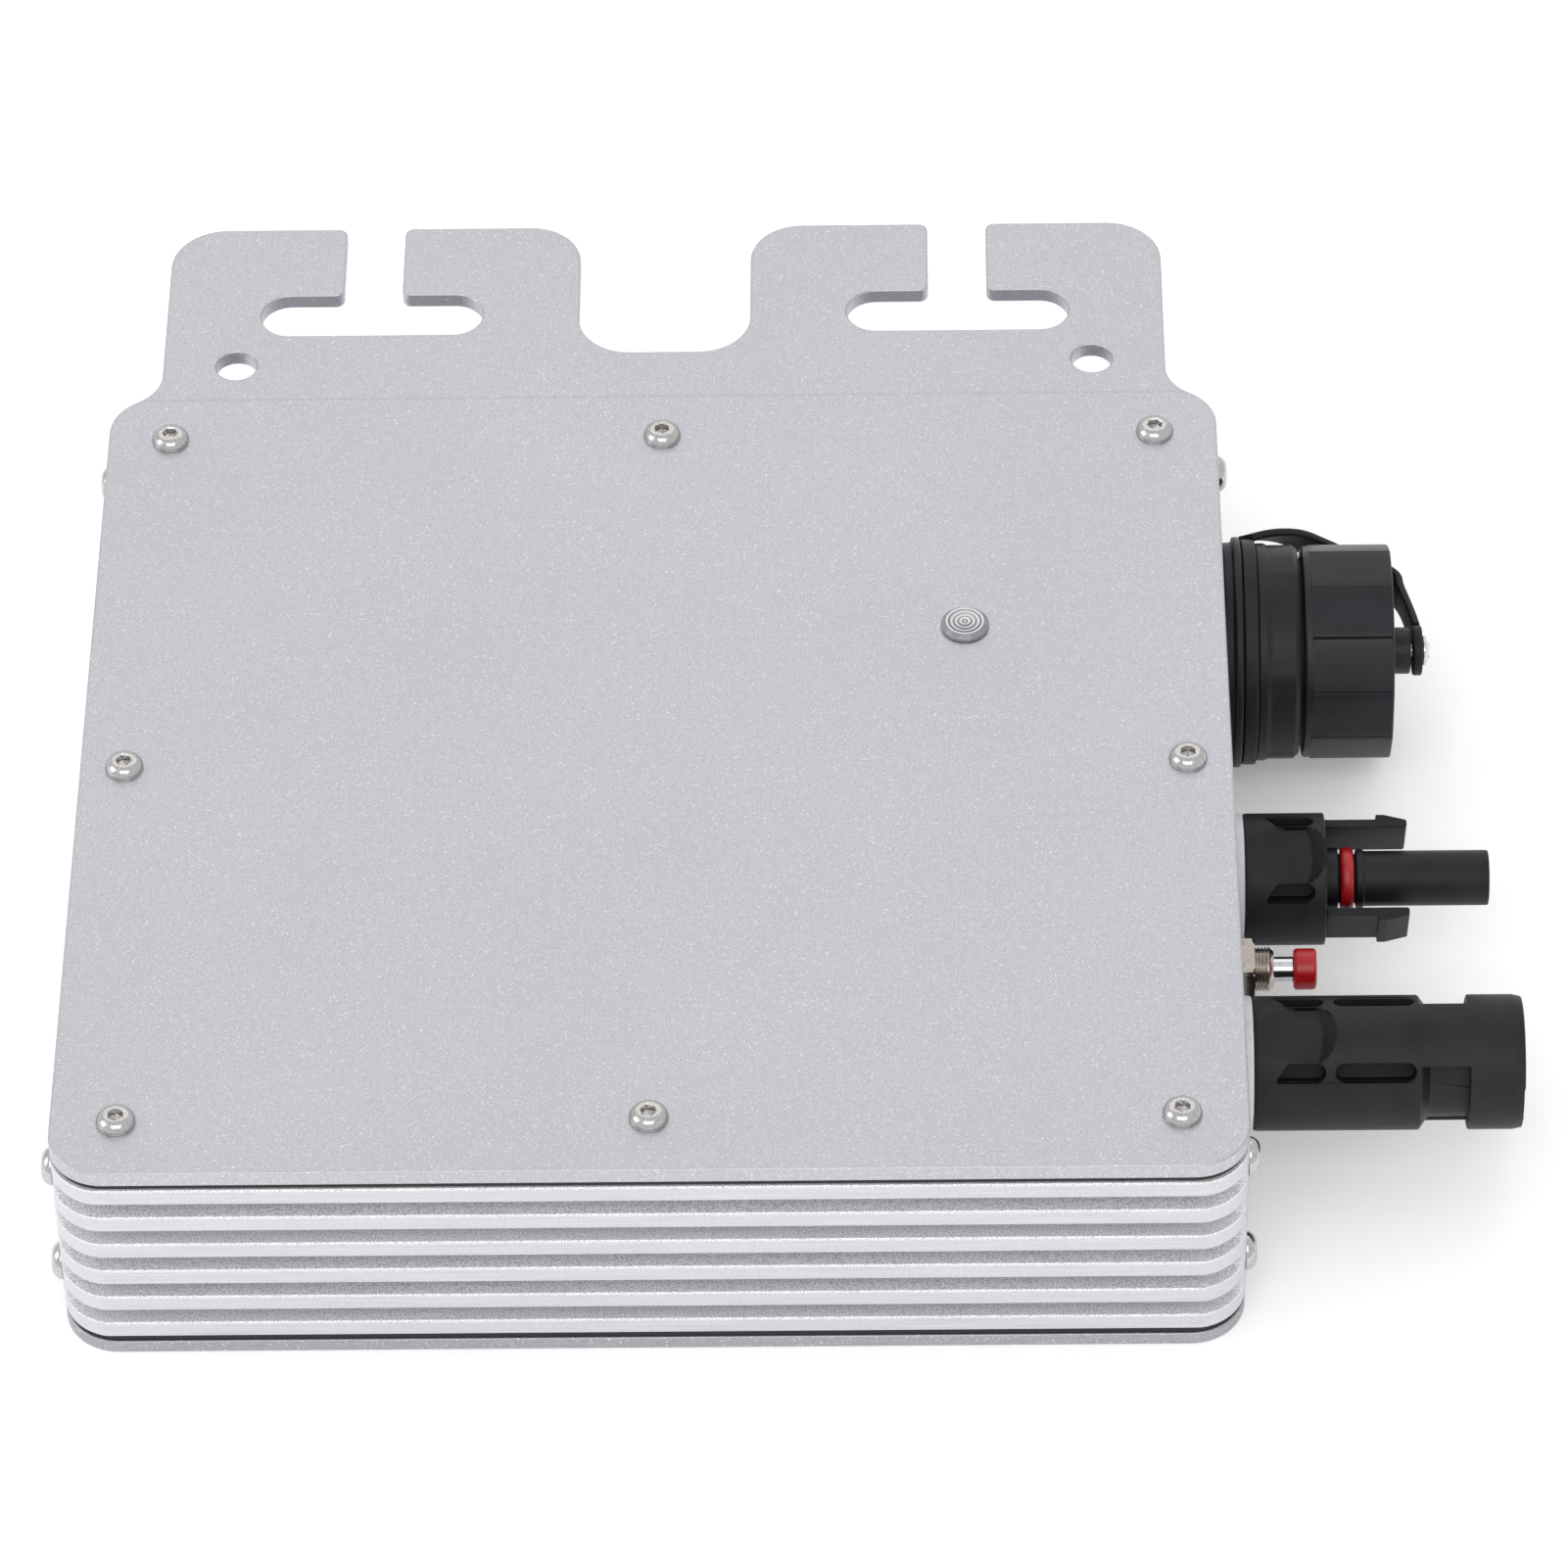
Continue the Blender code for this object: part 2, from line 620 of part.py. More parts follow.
def make_covers():
    """The flanged top cover, the base cover and the gasket under each."""
    silver = material("anodised_aluminium", SILVER, 0.45, 1.0)
    rubber = material("gasket_rubber", RUBBER, 0.7)
    top = part("top_cover", prism(cover_outline(), COVER_BOTTOM, COVER_TOP), silver)
    through = (COVER_BOTTOM - OVERLAP, COVER_TOP + OVERLAP)
    tool(top, "top_cover_screw_holes", drills(screw_points(), HOLE_RADIUS, *through))
    lens = drills([(LENS_X, LENS_Y)], LENS_STEM_RADIUS + GAP, *through)
    tool(top, "lens_hole", lens)
    hole = FLANGE_HOLE_SPACING / 2
    hole_y = HALF_DEPTH + FLANGE_HOLE_SETBACK
    ears = [(-hole, hole_y), (hole, hole_y)]
    tool(top, "flange_holes", drills(ears, FLANGE_HOLE_RADIUS, *through))

    base = part("bottom_cover", prism(plan(), 0, BASE_COVER_THICKNESS), silver)
    through = (-OVERLAP, BASE_COVER_THICKNESS + OVERLAP)
    tool(base, "base_screw_holes", drills(corner_points(), HOLE_RADIUS, *through))
    sink = []
    for x, y in corner_points():
        reach = SCREW_HEAD_RADIUS - SCREW_RADIUS + GAP
        cone = turned([(-OVERLAP, 0), (-OVERLAP, SCREW_HEAD_RADIUS + GAP + OVERLAP),
                       (reach, SCREW_RADIUS + GAP), (reach, 0)], 12)
        sink.append(moved(cone, (x, y, 0), (-math.pi / 2, "Y")))
    tool(base, "base_countersinks", merged(*sink))

    for name, low, points in (
        ("top_gasket", BODY_TOP, screw_points()),
        ("bottom_gasket", BASE_COVER_THICKNESS, corner_points()),
    ):
        bottom, rim = low + GAP, low + GASKET_SPACE - GAP
        seal = part(name, prism(plan(GASKET_INSET), bottom, rim), rubber)
        inner_x = HALF_WIDTH - GASKET_INSET - GASKET_WIDTH - LUG_WIDTH / 2
        inner_y = HALF_DEPTH - GASKET_INSET - GASKET_WIDTH - RAIL_WALL
        window = box((-inner_x, -inner_y, bottom - OVERLAP), (inner_x, inner_y, rim + OVERLAP))
        tool(seal, name + "_window", window)
        tool(seal, name + "_holes", drills(points, HOLE_RADIUS, bottom - OVERLAP, rim + OVERLAP))


def rail_profile():
    """The extrusion's section as (y, z): fins outward, a wall and two screw lips inward."""
    face, root = -HALF_DEPTH, -HALF_DEPTH + FIN_DEPTH
    inside = root + RAIL_WALL
    lip = inside + RAIL_LIP_DEPTH
    points = []
    for k in range(FIN_COUNT):
        low = BODY_BOTTOM + k * (FIN_THICKNESS + FIN_GROOVE)
        if k:
            points.append((root, low))
        points.append((face, low))
        points.append((face, low + FIN_THICKNESS))
        if k < FIN_COUNT - 1:
            points.append((root, low + FIN_THICKNESS))
    points += [(lip, BODY_TOP), (lip, BODY_TOP - RAIL_LIP_HEIGHT)]
    points += [(inside, BODY_TOP - RAIL_LIP_HEIGHT), (inside, BODY_BOTTOM + RAIL_LIP_HEIGHT)]
    points += [(lip, BODY_BOTTOM + RAIL_LIP_HEIGHT), (lip, BODY_BOTTOM)]
    return points


def make_rails():
    """Two lengths of the same finned extrusion, drilled for the cover and end screws."""
    silver = material("extruded_aluminium", SILVER, 0.4, 1.0)
    reach = HALF_WIDTH - END_PLATE_THICKNESS - GAP
    shoulder = -HALF_DEPTH + FIN_DEPTH + REBATE_WALL
    depth = SCREW_LENGTH - (COVER_TOP + GAP - BODY_TOP) + 2 * GAP
    for name, heading in (("front_heatsink_rail", 0), ("rear_heatsink_rail", math.pi)):
        mount = axis(name + "_frame", (0, 0, 0), (0, 0, heading))
        shape = lengthwise(rail_profile(), -HALF_WIDTH, HALF_WIDTH)
        rail = part(name, shape, silver, parent=mount)
        corners = prism(plan(), BODY_BOTTOM - OVERLAP, BODY_TOP + OVERLAP)
        tool(rail, name + "_rounding", corners, "INTERSECT")
        rebates = [
            box((start, shoulder, BODY_BOTTOM - OVERLAP), (stop, 0, BODY_TOP + OVERLAP))
            for start, stop in ((-HALF_WIDTH - OVERLAP, -reach), (reach, HALF_WIDTH + OVERLAP))
        ]
        tool(rail, name + "_rebates", merged(*rebates))
        row = [(x, -SCREW_Y) for x in (-SCREW_X, 0, SCREW_X)]
        holes = drills(row, HOLE_RADIUS, BODY_TOP - depth, BODY_TOP + OVERLAP)
        tool(rail, name + "_top_holes", holes)
        ends = [(x, -SCREW_Y) for x in (-SCREW_X, SCREW_X)]
        sunk = SCREW_LENGTH + 2 * GAP - BODY_BOTTOM
        holes = drills(ends, HOLE_RADIUS, BODY_BOTTOM - OVERLAP, BODY_BOTTOM + sunk)
        tool(rail, name + "_base_holes", holes)
        bores = []
        for side in (-1, 1):
            for dz in (-END_SCREW_SPACING_Z / 2, END_SCREW_SPACING_Z / 2):
                inner = HALF_WIDTH - SCREW_HOLE_DEPTH
                span = sorted((side * inner, side * (reach + OVERLAP)))
                bores.append(moved(rod(*span, HOLE_RADIUS, 12), (0, -SCREW_Y, MIDDLE_Z + dz)))
        tool(rail, name + "_end_bores", merged(*bores))


def end_plate_outline():
    """Seen from above: a flat plate with its outer upright edges chamfered."""
    inner = HALF_WIDTH - END_PLATE_THICKNESS
    side = HALF_DEPTH - FIN_DEPTH - REBATE_WALL - GAP
    edge = END_PLATE_CHAMFER
    return [
        (inner, -side), (HALF_WIDTH - edge, -side), (HALF_WIDTH, -side + edge),
        (HALF_WIDTH, side - edge), (HALF_WIDTH - edge, side), (inner, side),
    ]


def make_end_plates():
    """Flat plates let into the rails' ends; the right one carries the connectors."""
    silver = material("end_plate_aluminium", SILVER, 0.45, 1.0)
    inner = HALF_WIDTH - END_PLATE_THICKNESS
    panel = (inner - OVERLAP, HALF_WIDTH + OVERLAP)
    for name, heading in (("right_end_plate", 0), ("left_end_plate", math.pi)):
        mount = axis(name + "_frame", (0, 0, 0), (0, 0, heading))
        shape = prism(end_plate_outline(), BODY_BOTTOM, BODY_TOP)
        plate = part(name, shape, silver, parent=mount)
        lug = box((inner - LUG_DEPTH, -LUG_WIDTH / 2, BODY_TOP - LUG_HEIGHT),
                  (inner + OVERLAP, LUG_WIDTH / 2, BODY_TOP))
        tool(plate, name + "_lug", lug, "UNION")
        hole = drills([(LUG_SCREW_X, 0)], HOLE_RADIUS, BODY_TOP - LUG_HEIGHT - OVERLAP,
                      BODY_TOP + OVERLAP)
        tool(plate, name + "_lug_hole", hole)
        bores = [moved(rod(*panel, HOLE_RADIUS, 12), (0, y, z)) for y, z in end_points()]
        tool(plate, name + "_screw_holes", merged(*bores))
        if heading == 0:
            openings = (
                (AC_Y, AC_STEM_RADIUS),
                (DC_PLUG_Y, DC_STEM_RADIUS),
                (DC_SOCKET_Y, DC_STEM_RADIUS),
                (BUTTON_Y, BUTTON_THREAD_RADIUS),
            )
            cuts = [moved(rod(*panel, r + GAP, 24), (0, y, MIDDLE_Z)) for y, r in openings]
            tool(plate, "connector_holes", merged(*cuts))


def make_lens():
    """A clear stepped lens whose stem passes through the top cover."""
    clear = material("clear_polycarbonate", (0.85, 0.86, 0.88), 0.08)
    seat = GAP
    profile = [
        (-TOP_COVER_THICKNESS, 0), (-TOP_COVER_THICKNESS, LENS_STEM_RADIUS),
        (seat, LENS_STEM_RADIUS), (seat, LENS_RADIUS), (seat + LENS_RIM_HEIGHT, LENS_RADIUS),
        (seat + LENS_HEIGHT, LENS_TOP_RADIUS), (seat + LENS_HEIGHT, 0),
    ]
    part("status_lens", turned(profile, 20), clear, location=(LENS_X, LENS_Y, COVER_TOP),
         rotation=UPRIGHT)


# --- AC connector -----------------------------------------------------------------------------


def make_ac_receptacle(panel):
    """A panel receptacle: flange, bead, tether seat, barrel and threaded neck about one bore."""
    plastic = material("receptacle_plastic", BLACK, 0.45)
    steps = (
        (AC_FLANGE_LENGTH, AC_FLANGE_RADIUS), (AC_BEAD_LENGTH, AC_BEAD_RADIUS),
        (AC_SEAT_LENGTH, AC_SEAT_RADIUS), (AC_BARREL_LENGTH, AC_BARREL_RADIUS),
    )
    profile = [(-AC_STEM_LENGTH, AC_BORE_RADIUS), (-AC_STEM_LENGTH, AC_STEM_RADIUS)]
    profile.append((GAP, AC_STEM_RADIUS))
    x = GAP
    for length, radius in steps:
        profile.append((x, radius))
        x += length
        profile.append((x, radius))
    profile[-1] = (x - AC_BARREL_CHAMFER, AC_BARREL_RADIUS)
    profile.append((x, AC_BARREL_RADIUS - AC_BARREL_CHAMFER))
    neck_end = x + AC_NECK_LENGTH
    profile += [(x, AC_NECK_RADIUS), (neck_end, AC_NECK_RADIUS), (neck_end, AC_BORE_RADIUS)]
    part("ac_receptacle", turned(profile, 28), plastic, parent=panel)

    insulator = material("contact_insert_plastic", (0.05, 0.05, 0.055), 0.5)
    shape = rod(-AC_STEM_LENGTH, AC_INSERT_FRONT, AC_BORE_RADIUS - GAP, 24)
    insert = part("ac_contact_insert", shape, insulator, parent=panel)
    holes = []
    for k in range(AC_CONTACT_COUNT):
        hole = rod(AC_INSERT_FRONT - AC_CONTACT_HOLE_DEPTH, AC_INSERT_FRONT + OVERLAP,
                   AC_CONTACT_HOLE_RADIUS, 12)
        hole = moved(hole, (0, 0, AC_CONTACT_CIRCLE_RADIUS))
        holes.append(moved(hole, turn=(TURN * k / AC_CONTACT_COUNT, "X")))
    tool(insert, "contact_holes", merged(*holes))

    nut_end = -END_PLATE_THICKNESS - GAP
    shape = tube(nut_end - AC_NUT_LENGTH, nut_end, AC_NUT_RADIUS, AC_STEM_RADIUS + GAP, 18)
    part("ac_locknut", shape, plastic, parent=panel)
    return neck_end


def tether_route(cap_end):
    """The band's middle line as (x, radius, angle from the top), over the cap to its tab."""
    seat = GAP + AC_FLANGE_LENGTH + AC_BEAD_LENGTH + AC_SEAT_LENGTH / 2
    high = TETHER_RING_RADIUS + TETHER_THICKNESS / 2
    points = []
    # Along the cap: the share of the way to its end, the share of the arch, and the angle.
    for along, rise, angle in (
        (0, -0.8, 48), (0.12, 0.3, 52), (0.31, 1, 62), (0.49, 0.9, 74), (0.67, 0.7, 84),
        (0.86, 1.1, 91),
    ):
        x = seat + along * (cap_end - seat)
        points.append(Vector((x, high + rise * TETHER_ARCH, angle)))
    tab = TETHER_TAB_RADIUS + GAP
    tab_x = cap_end + CAP_BOSS_LENGTH + GAP + TETHER_TAB_THICKNESS / 2
    # Down the cap's face: the share of the way out to the tab, and of the way in to its rim.
    for along, drop, angle in ((0.22, 0.05, 97), (0.6, 0.42, 99), (0.86, 0.78, 98), (1, 1, 95)):
        x = cap_end + along * (tab_x - cap_end)
        points.append(Vector((x, high - drop * (high - tab), angle)))
    return points


def make_tether(panel, cap_end):
    """A flexible strap: a ring in the receptacle's seat and a band over to the cap's tab."""
    flexible = material("tether_elastomer", BLACK, 0.55)
    seat = GAP + AC_FLANGE_LENGTH + AC_BEAD_LENGTH
    shape = tube(seat + GAP, seat + AC_SEAT_LENGTH - GAP, TETHER_RING_RADIUS,
                 AC_SEAT_RADIUS + GAP, 28)
    strap = part("ac_strap", shape, flexible, parent=panel)
    path = []
    for x, radius, angle in catmull_rom(tether_route(cap_end), TETHER_STEPS):
        outward = Vector((0, math.sin(math.radians(angle)), math.cos(math.radians(angle))))
        path.append((Vector((x, 0, 0)) + outward * radius, outward))
    # Past the cap's rim the band turns to face along the axis.
    end = Vector((1, 0, 0))
    count = len(path)
    for i in range(count - 3 * TETHER_STEPS, count):
        share = (i - count + 3 * TETHER_STEPS) / (3 * TETHER_STEPS - 1)
        path[i] = (path[i][0], path[i][1].lerp(end, share))
    width, thick = TETHER_WIDTH / 2, TETHER_THICKNESS / 2
    band = swept(path, [(-width, -thick), (width, -thick), (width, thick), (-width, thick)])
    tool(strap, "ac_strap_band", band, "UNION")


def make_cap(panel, neck_end):
    """A twelve-sided screw cap with its seal, and the tether's tab held by a screw."""
    plastic = material("cap_plastic", BLACK, 0.42)
    start = neck_end - AC_NECK_LENGTH + 2 * GAP
    floor = neck_end + CAP_SEAL_THICKNESS + 2 * GAP
    end = floor + CAP_END_WALL
    turning = axis("cap_axis", (0, 0, 0), parent=panel)
    cap = part("ac_cap", faceted(start, end, CAP_RADIUS, CAP_SIDES, CAP_EDGE), plastic,
               parent=turning)
    boss = rod(end - OVERLAP, end + CAP_BOSS_LENGTH, CAP_BOSS_RADIUS, 20)
    tool(cap, "cap_boss", boss, "UNION")
    hollow = rod(start - OVERLAP, floor, AC_NECK_RADIUS + CAP_WALL_CLEARANCE, 28)
    tool(cap, "cap_hollow", hollow)
    head = end + CAP_BOSS_LENGTH + TETHER_TAB_THICKNESS + 2 * GAP
    tip = head - CAP_SCREW_LENGTH
    bore = rod(tip - GAP, end + CAP_BOSS_LENGTH + OVERLAP, CAP_SCREW_RADIUS + GAP, 12)
    tool(cap, "cap_screw_bore", bore)

    rubber = material("cap_seal_rubber", RUBBER, 0.7)
    shape = tube(neck_end + GAP, neck_end + GAP + CAP_SEAL_THICKNESS, AC_NECK_RADIUS,
                 AC_BORE_RADIUS + GAP, 24)
    part("ac_cap_seal", shape, rubber, parent=turning)

    sliding = axis("tab_axis", (0, 0, 0), parent=panel)
    flexible = material("tether_elastomer", BLACK, 0.55)
    tab_start = end + CAP_BOSS_LENGTH + GAP
    shape = tube(tab_start, tab_start + TETHER_TAB_THICKNESS, TETHER_TAB_RADIUS,
                 CAP_SCREW_RADIUS + GAP, 20)
    part("ac_strap_tab", shape, flexible, parent=sliding)

    steel = material("bright_steel", STEEL, 0.2, 1.0)
    points = button_head(CAP_SCREW_RADIUS, CAP_SCREW_HEAD_RADIUS, CAP_SCREW_HEAD_HEIGHT,
                         CAP_SCREW_LENGTH)
    shape = socket_screw(points, CAP_SCREW_RADIUS * 0.8, CAP_SCREW_HEAD_HEIGHT * 0.7)
    part("ac_strap_screw", shape, steel, parent=turning, location=(head, 0, 0))
    return end


# --- DC connectors ----------------------------------------------------------------------------


def grip_cutter(base):
    """A thumb recess: a slope down from the panel side, a flat, and a steep far end."""
    low, high = DC_BODY_RADIUS - DC_GRIP_DEPTH, DC_BODY_RADIUS + OVERLAP
    slope_end = base + DC_GRIP_START + DC_GRIP_SLOPE
    flat_end = slope_end + DC_GRIP_FLAT
    outline = [(base + DC_GRIP_START, high), (base + DC_GRIP_START, DC_BODY_RADIUS),
               (slope_end, low), (flat_end, low), (flat_end + DC_GRIP_END, high)]
    return crosswise(outline, DC_GRIP_WIDTH)


def pocket_cutter(start, length, angle):
    """A round-ended pocket sunk into the body's curved side."""
    half, end = DC_POCKET_WIDTH / 2, length / 2
    bend = half - 0.01 * MM
    outline = rounded([(-end, -half, bend), (end, -half, bend), (end, half, bend),
                       (-end, half, bend)], math.radians(45))
    shape = prism(outline, DC_BODY_RADIUS - DC_POCKET_DEPTH, DC_BODY_RADIUS + OVERLAP)
    return moved(moved(shape, (start + end, 0, 0)), turn=(angle, "X"))


def shape_body(body, base, pockets):
    """Cut the thumb recesses and side pockets, alike above and below."""
    for flip, side in ((0, "upper"), (math.pi, "lower")):
        tool(body, f"{body.name}_{side}_grip", moved(grip_cutter(base), turn=(flip, "X")))
        shapes = []
        for start, length in pockets:
            for angle in (-DC_POCKET_ANGLE, DC_POCKET_ANGLE):
                shapes.append(pocket_cutter(base + start, length, flip + angle))
        tool(body, f"{body.name}_{side}_pockets", merged(*shapes))


def make_panel_fixings(name, panel):
    """A flat seal under the body and a hexagon nut behind the panel."""
    silicone = material("seal_silicone", (0.75, 0.76, 0.78), 0.5)
    plastic = material("nut_plastic", BLACK, 0.5)
    reach = DC_BODY_RADIUS + DC_SEAL_OVERHANG
    seal = tube(GAP, GAP + DC_SEAL_THICKNESS, reach, DC_STEM_RADIUS + GAP, 20)
    part(f"{name}_seal", seal, silicone, parent=panel)
    back = -END_PLATE_THICKNESS - GAP
    nut = faceted(back - DC_NUT_LENGTH, back, DC_NUT_RADIUS, 6)
    nut = part(f"{name}_nut", nut, plastic, parent=panel, smooth=False)
    hole = rod(back - DC_NUT_LENGTH - OVERLAP, back + OVERLAP, DC_STEM_RADIUS + GAP, 12)
    tool(nut, f"{name}_nut_thread", hole)


def latch_mesh():
    """One snap finger from its root on the hinge axis, along X, with a barb outward in Y."""
    length, thick, barb = LATCH_LENGTH, LATCH_THICKNESS, LATCH_BARB_HEIGHT
    inner = -thick / 2
    outer, heel = inner + thick, length - LATCH_BARB_LENGTH
    outline = [(0, inner), (length, inner), (length, outer - LATCH_TIP_RELIEF),
               (heel + LATCH_BARB_CREST, outer + barb), (heel, outer + barb), (heel, outer),
               (0, outer)]
    return prism(outline, -LATCH_WIDTH / 2, LATCH_WIDTH / 2)


def make_dc_plug():
    """The connector with two snap fingers, an O-ring and a long insulated probe."""
    plastic = material("dc_plastic", BLACK, 0.5)
    panel = axis("dc_plug_axis", (HALF_WIDTH, DC_PLUG_Y, MIDDLE_Z), (DC_PLUG_ROLL, 0, 0))
    base = 2 * GAP + DC_SEAL_THICKNESS
    front = base + PLUG_BODY_LENGTH
    groove = front + O_RING_START
    collar = groove + O_RING_LENGTH + 2 * GAP
    collar_end = collar + PROBE_COLLAR_LENGTH
    tip = front + PROBE_LENGTH
    floor = front - PLUG_BODY_LENGTH / 2
    profile = [
        (-DC_STEM_LENGTH, 0), (-DC_STEM_LENGTH, DC_STEM_RADIUS), (base, DC_STEM_RADIUS),
        (base, DC_BODY_RADIUS), (front, DC_BODY_RADIUS), (front, PROBE_RADIUS),
        (groove, PROBE_RADIUS), (groove, O_RING_GROOVE_RADIUS), (collar, O_RING_GROOVE_RADIUS),
        (collar, PROBE_COLLAR_RADIUS), (collar_end, PROBE_COLLAR_RADIUS),
        (collar_end, PROBE_RADIUS), (tip, PROBE_RADIUS), (tip, PROBE_BORE_RADIUS),
        (floor, PROBE_BORE_RADIUS), (floor, 0),
    ]
    body = part("dc_plug_housing", turned(profile), plastic, parent=panel)
    shape_body(body, base, [(DC_POCKET_START, DC_POCKET_LENGTH)])
    make_panel_fixings("dc_plug", panel)

    brass = material("tinned_contact", (0.75, 0.7, 0.6), 0.3, 1.0)
    shape = tube(floor + GAP, tip - CONTACT_SETBACK, CONTACT_RADIUS, PIN_RADIUS, 12)
    part("dc_plug_contact", shape, brass, parent=panel)

    red = material("red_silicone", (0.42, 0.02, 0.025), 0.4)
    inner = O_RING_GROOVE_RADIUS + GAP
    middle, radius = groove + GAP + O_RING_LENGTH / 2, (O_RING_RADIUS - inner) / 2
    ring = []
    for k in range(6):
        angle = TURN * (k + 0.5) / 6
        ring.append((middle + O_RING_LENGTH / 2 * math.sin(angle),
                     inner + radius + radius * math.cos(angle)))
    part("dc_plug_o_ring", turned(ring, 20), red, parent=panel)

    root = LATCH_INNER_RADIUS + LATCH_THICKNESS / 2
    for name, side in (("dc_latch_rear", 1), ("dc_latch_front", -1)):
        hinge = axis(name + "_hinge", (front + GAP, side * root, 0),
                     (0 if side > 0 else math.pi, 0, 0), panel)
        part(name, latch_mesh(), plastic, parent=hinge, smooth=False)


def make_dc_socket():
    """The shell connector: finger windows at its neck, an entry collar and a pin in its bore."""
    plastic = material("dc_plastic", BLACK, 0.5)
    panel = axis("dc_socket_axis", (HALF_WIDTH, DC_SOCKET_Y, MIDDLE_Z), (DC_SOCKET_ROLL, 0, 0))
    base = 2 * GAP + DC_SEAL_THICKNESS
    neck = base + SHELL_BODY_LENGTH + SHELL_CHAMFER
    collar = neck + SHELL_NECK_LENGTH
    tip = collar + SHELL_COLLAR_LENGTH
    floor = tip - SHELL_BORE_DEPTH
    profile = [
        (-DC_STEM_LENGTH, 0), (-DC_STEM_LENGTH, DC_STEM_RADIUS), (base, DC_STEM_RADIUS),
        (base, DC_BODY_RADIUS), (tip - SHELL_TAPER_LENGTH, DC_BODY_RADIUS),
        (tip, DC_BODY_RADIUS - SHELL_TAPER), (tip, SHELL_BORE_RADIUS),
        (floor, SHELL_BORE_RADIUS), (floor, 0),
    ]
    body = part("dc_socket_shell", turned(profile), plastic, parent=panel)
    pockets = [(DC_POCKET_START, DC_POCKET_LENGTH), (SHELL_POCKET_START, SHELL_POCKET_LENGTH)]
    shape_body(body, base, pockets)
    spread = math.pi / 2 - SHELL_BAND_ANGLE
    wall = DC_BODY_RADIUS - SHELL_WALL
    for flip, side in ((0, "rear"), (math.pi, "front")):
        window = sector(DC_BODY_RADIUS - SHELL_NECK_DEPTH, DC_BODY_RADIUS + OVERLAP, spread,
                        neck, collar)
        tool(body, f"socket_{side}_window", moved(window, turn=(flip, "X")))
        slot = sector(LATCH_INNER_RADIUS - GAP, wall, SHELL_SLOT_ANGLE, neck - SHELL_SLOT_LEAD,
                      tip + OVERLAP)
        tool(body, f"socket_{side}_finger_slot", moved(slot, turn=(flip, "X")))
    make_panel_fixings("dc_socket", panel)

    brass = material("tinned_contact", (0.75, 0.7, 0.6), 0.3, 1.0)
    end = tip - PIN_SETBACK
    shape = turned([(floor + GAP, 0), (floor + GAP, PIN_RADIUS), (end - PIN_RADIUS, PIN_RADIUS),
                    (end, PIN_RADIUS / 2), (end, 0)], 12)
    part("dc_socket_contact", shape, brass, parent=panel)


# --- Push button ------------------------------------------------------------------------------


def make_button():
    """A sprung push button: a threaded bushing with its can inside, a nut, stem and red cap."""
    nickel = material("nickel_plated_brass", (0.6, 0.58, 0.54), 0.25, 1.0)
    panel = axis("button_axis", (HALF_WIDTH, BUTTON_Y, MIDDLE_Z))
    shoulder = -END_PLATE_THICKNESS - GAP
    back = shoulder - BUTTON_CAN_LENGTH
    front = BUTTON_THREAD_LENGTH
    nose = BUTTON_THREAD_RADIUS - BUTTON_NOSE
    profile = [
        (back, 0), (back, BUTTON_CAN_RADIUS), (shoulder, BUTTON_CAN_RADIUS),
        (shoulder, BUTTON_THREAD_RADIUS), (front, BUTTON_THREAD_RADIUS),
        (front + BUTTON_NOSE, nose), (front + BUTTON_NOSE, BUTTON_BORE_RADIUS),
        (back + BUTTON_CAN_WALL, BUTTON_BORE_RADIUS), (back + BUTTON_CAN_WALL, 0),
    ]
    part("button_bushing", turned(profile, 16), nickel, parent=panel)

    nut = faceted(GAP, GAP + BUTTON_NUT_LENGTH, BUTTON_THREAD_RADIUS + BUTTON_NUT_WALL, 6)
    nut = part("button_nut", nut, nickel, parent=panel, smooth=False)
    hole = rod(GAP - OVERLAP, GAP + BUTTON_NUT_LENGTH + OVERLAP, BUTTON_THREAD_RADIUS + GAP, 16)
    tool(nut, "button_nut_thread", hole)

    red = material("red_button_plastic", (0.43, 0.02, 0.03), 0.35)
    end = BUTTON_CAP_START + BUTTON_CAP_LENGTH
    profile = [
        (BUTTON_STEM_START, 0), (BUTTON_STEM_START, BUTTON_STEM_RADIUS),
        (BUTTON_CAP_START, BUTTON_STEM_RADIUS), (BUTTON_CAP_START, BUTTON_CAP_RADIUS),
        (end - BUTTON_CAP_EDGE, BUTTON_CAP_RADIUS), (end, BUTTON_CAP_RADIUS - BUTTON_CAP_EDGE),
        (end, 0),
    ]
    slide = axis("button_travel", (0, 0, 0), parent=panel)
    part("button_plunger", turned(profile, 16), red, parent=slide)

    steel = material("spring_steel", STEEL, 0.3, 1.0)
    seat = back + BUTTON_CAN_WALL + GAP + SPRING_WIRE_RADIUS
    length = BUTTON_STEM_START - GAP - SPRING_WIRE_RADIUS - seat
    path = []
    steps = 8 * SPRING_COILS
    for k in range(steps + 1):
        angle = TURN * k / 8
        outward = Vector((0, math.cos(angle), math.sin(angle)))
        path.append((Vector((seat + length * k / steps, 0, 0)) + outward * SPRING_RADIUS, outward))
    wire = []
    for k in range(4):
        angle = TURN * k / 4
        wire.append((SPRING_WIRE_RADIUS * math.cos(angle), SPRING_WIRE_RADIUS * math.sin(angle)))
    part("button_spring", swept(path, wire), steel, parent=panel)


# --- Electronics ------------------------------------------------------------------------------


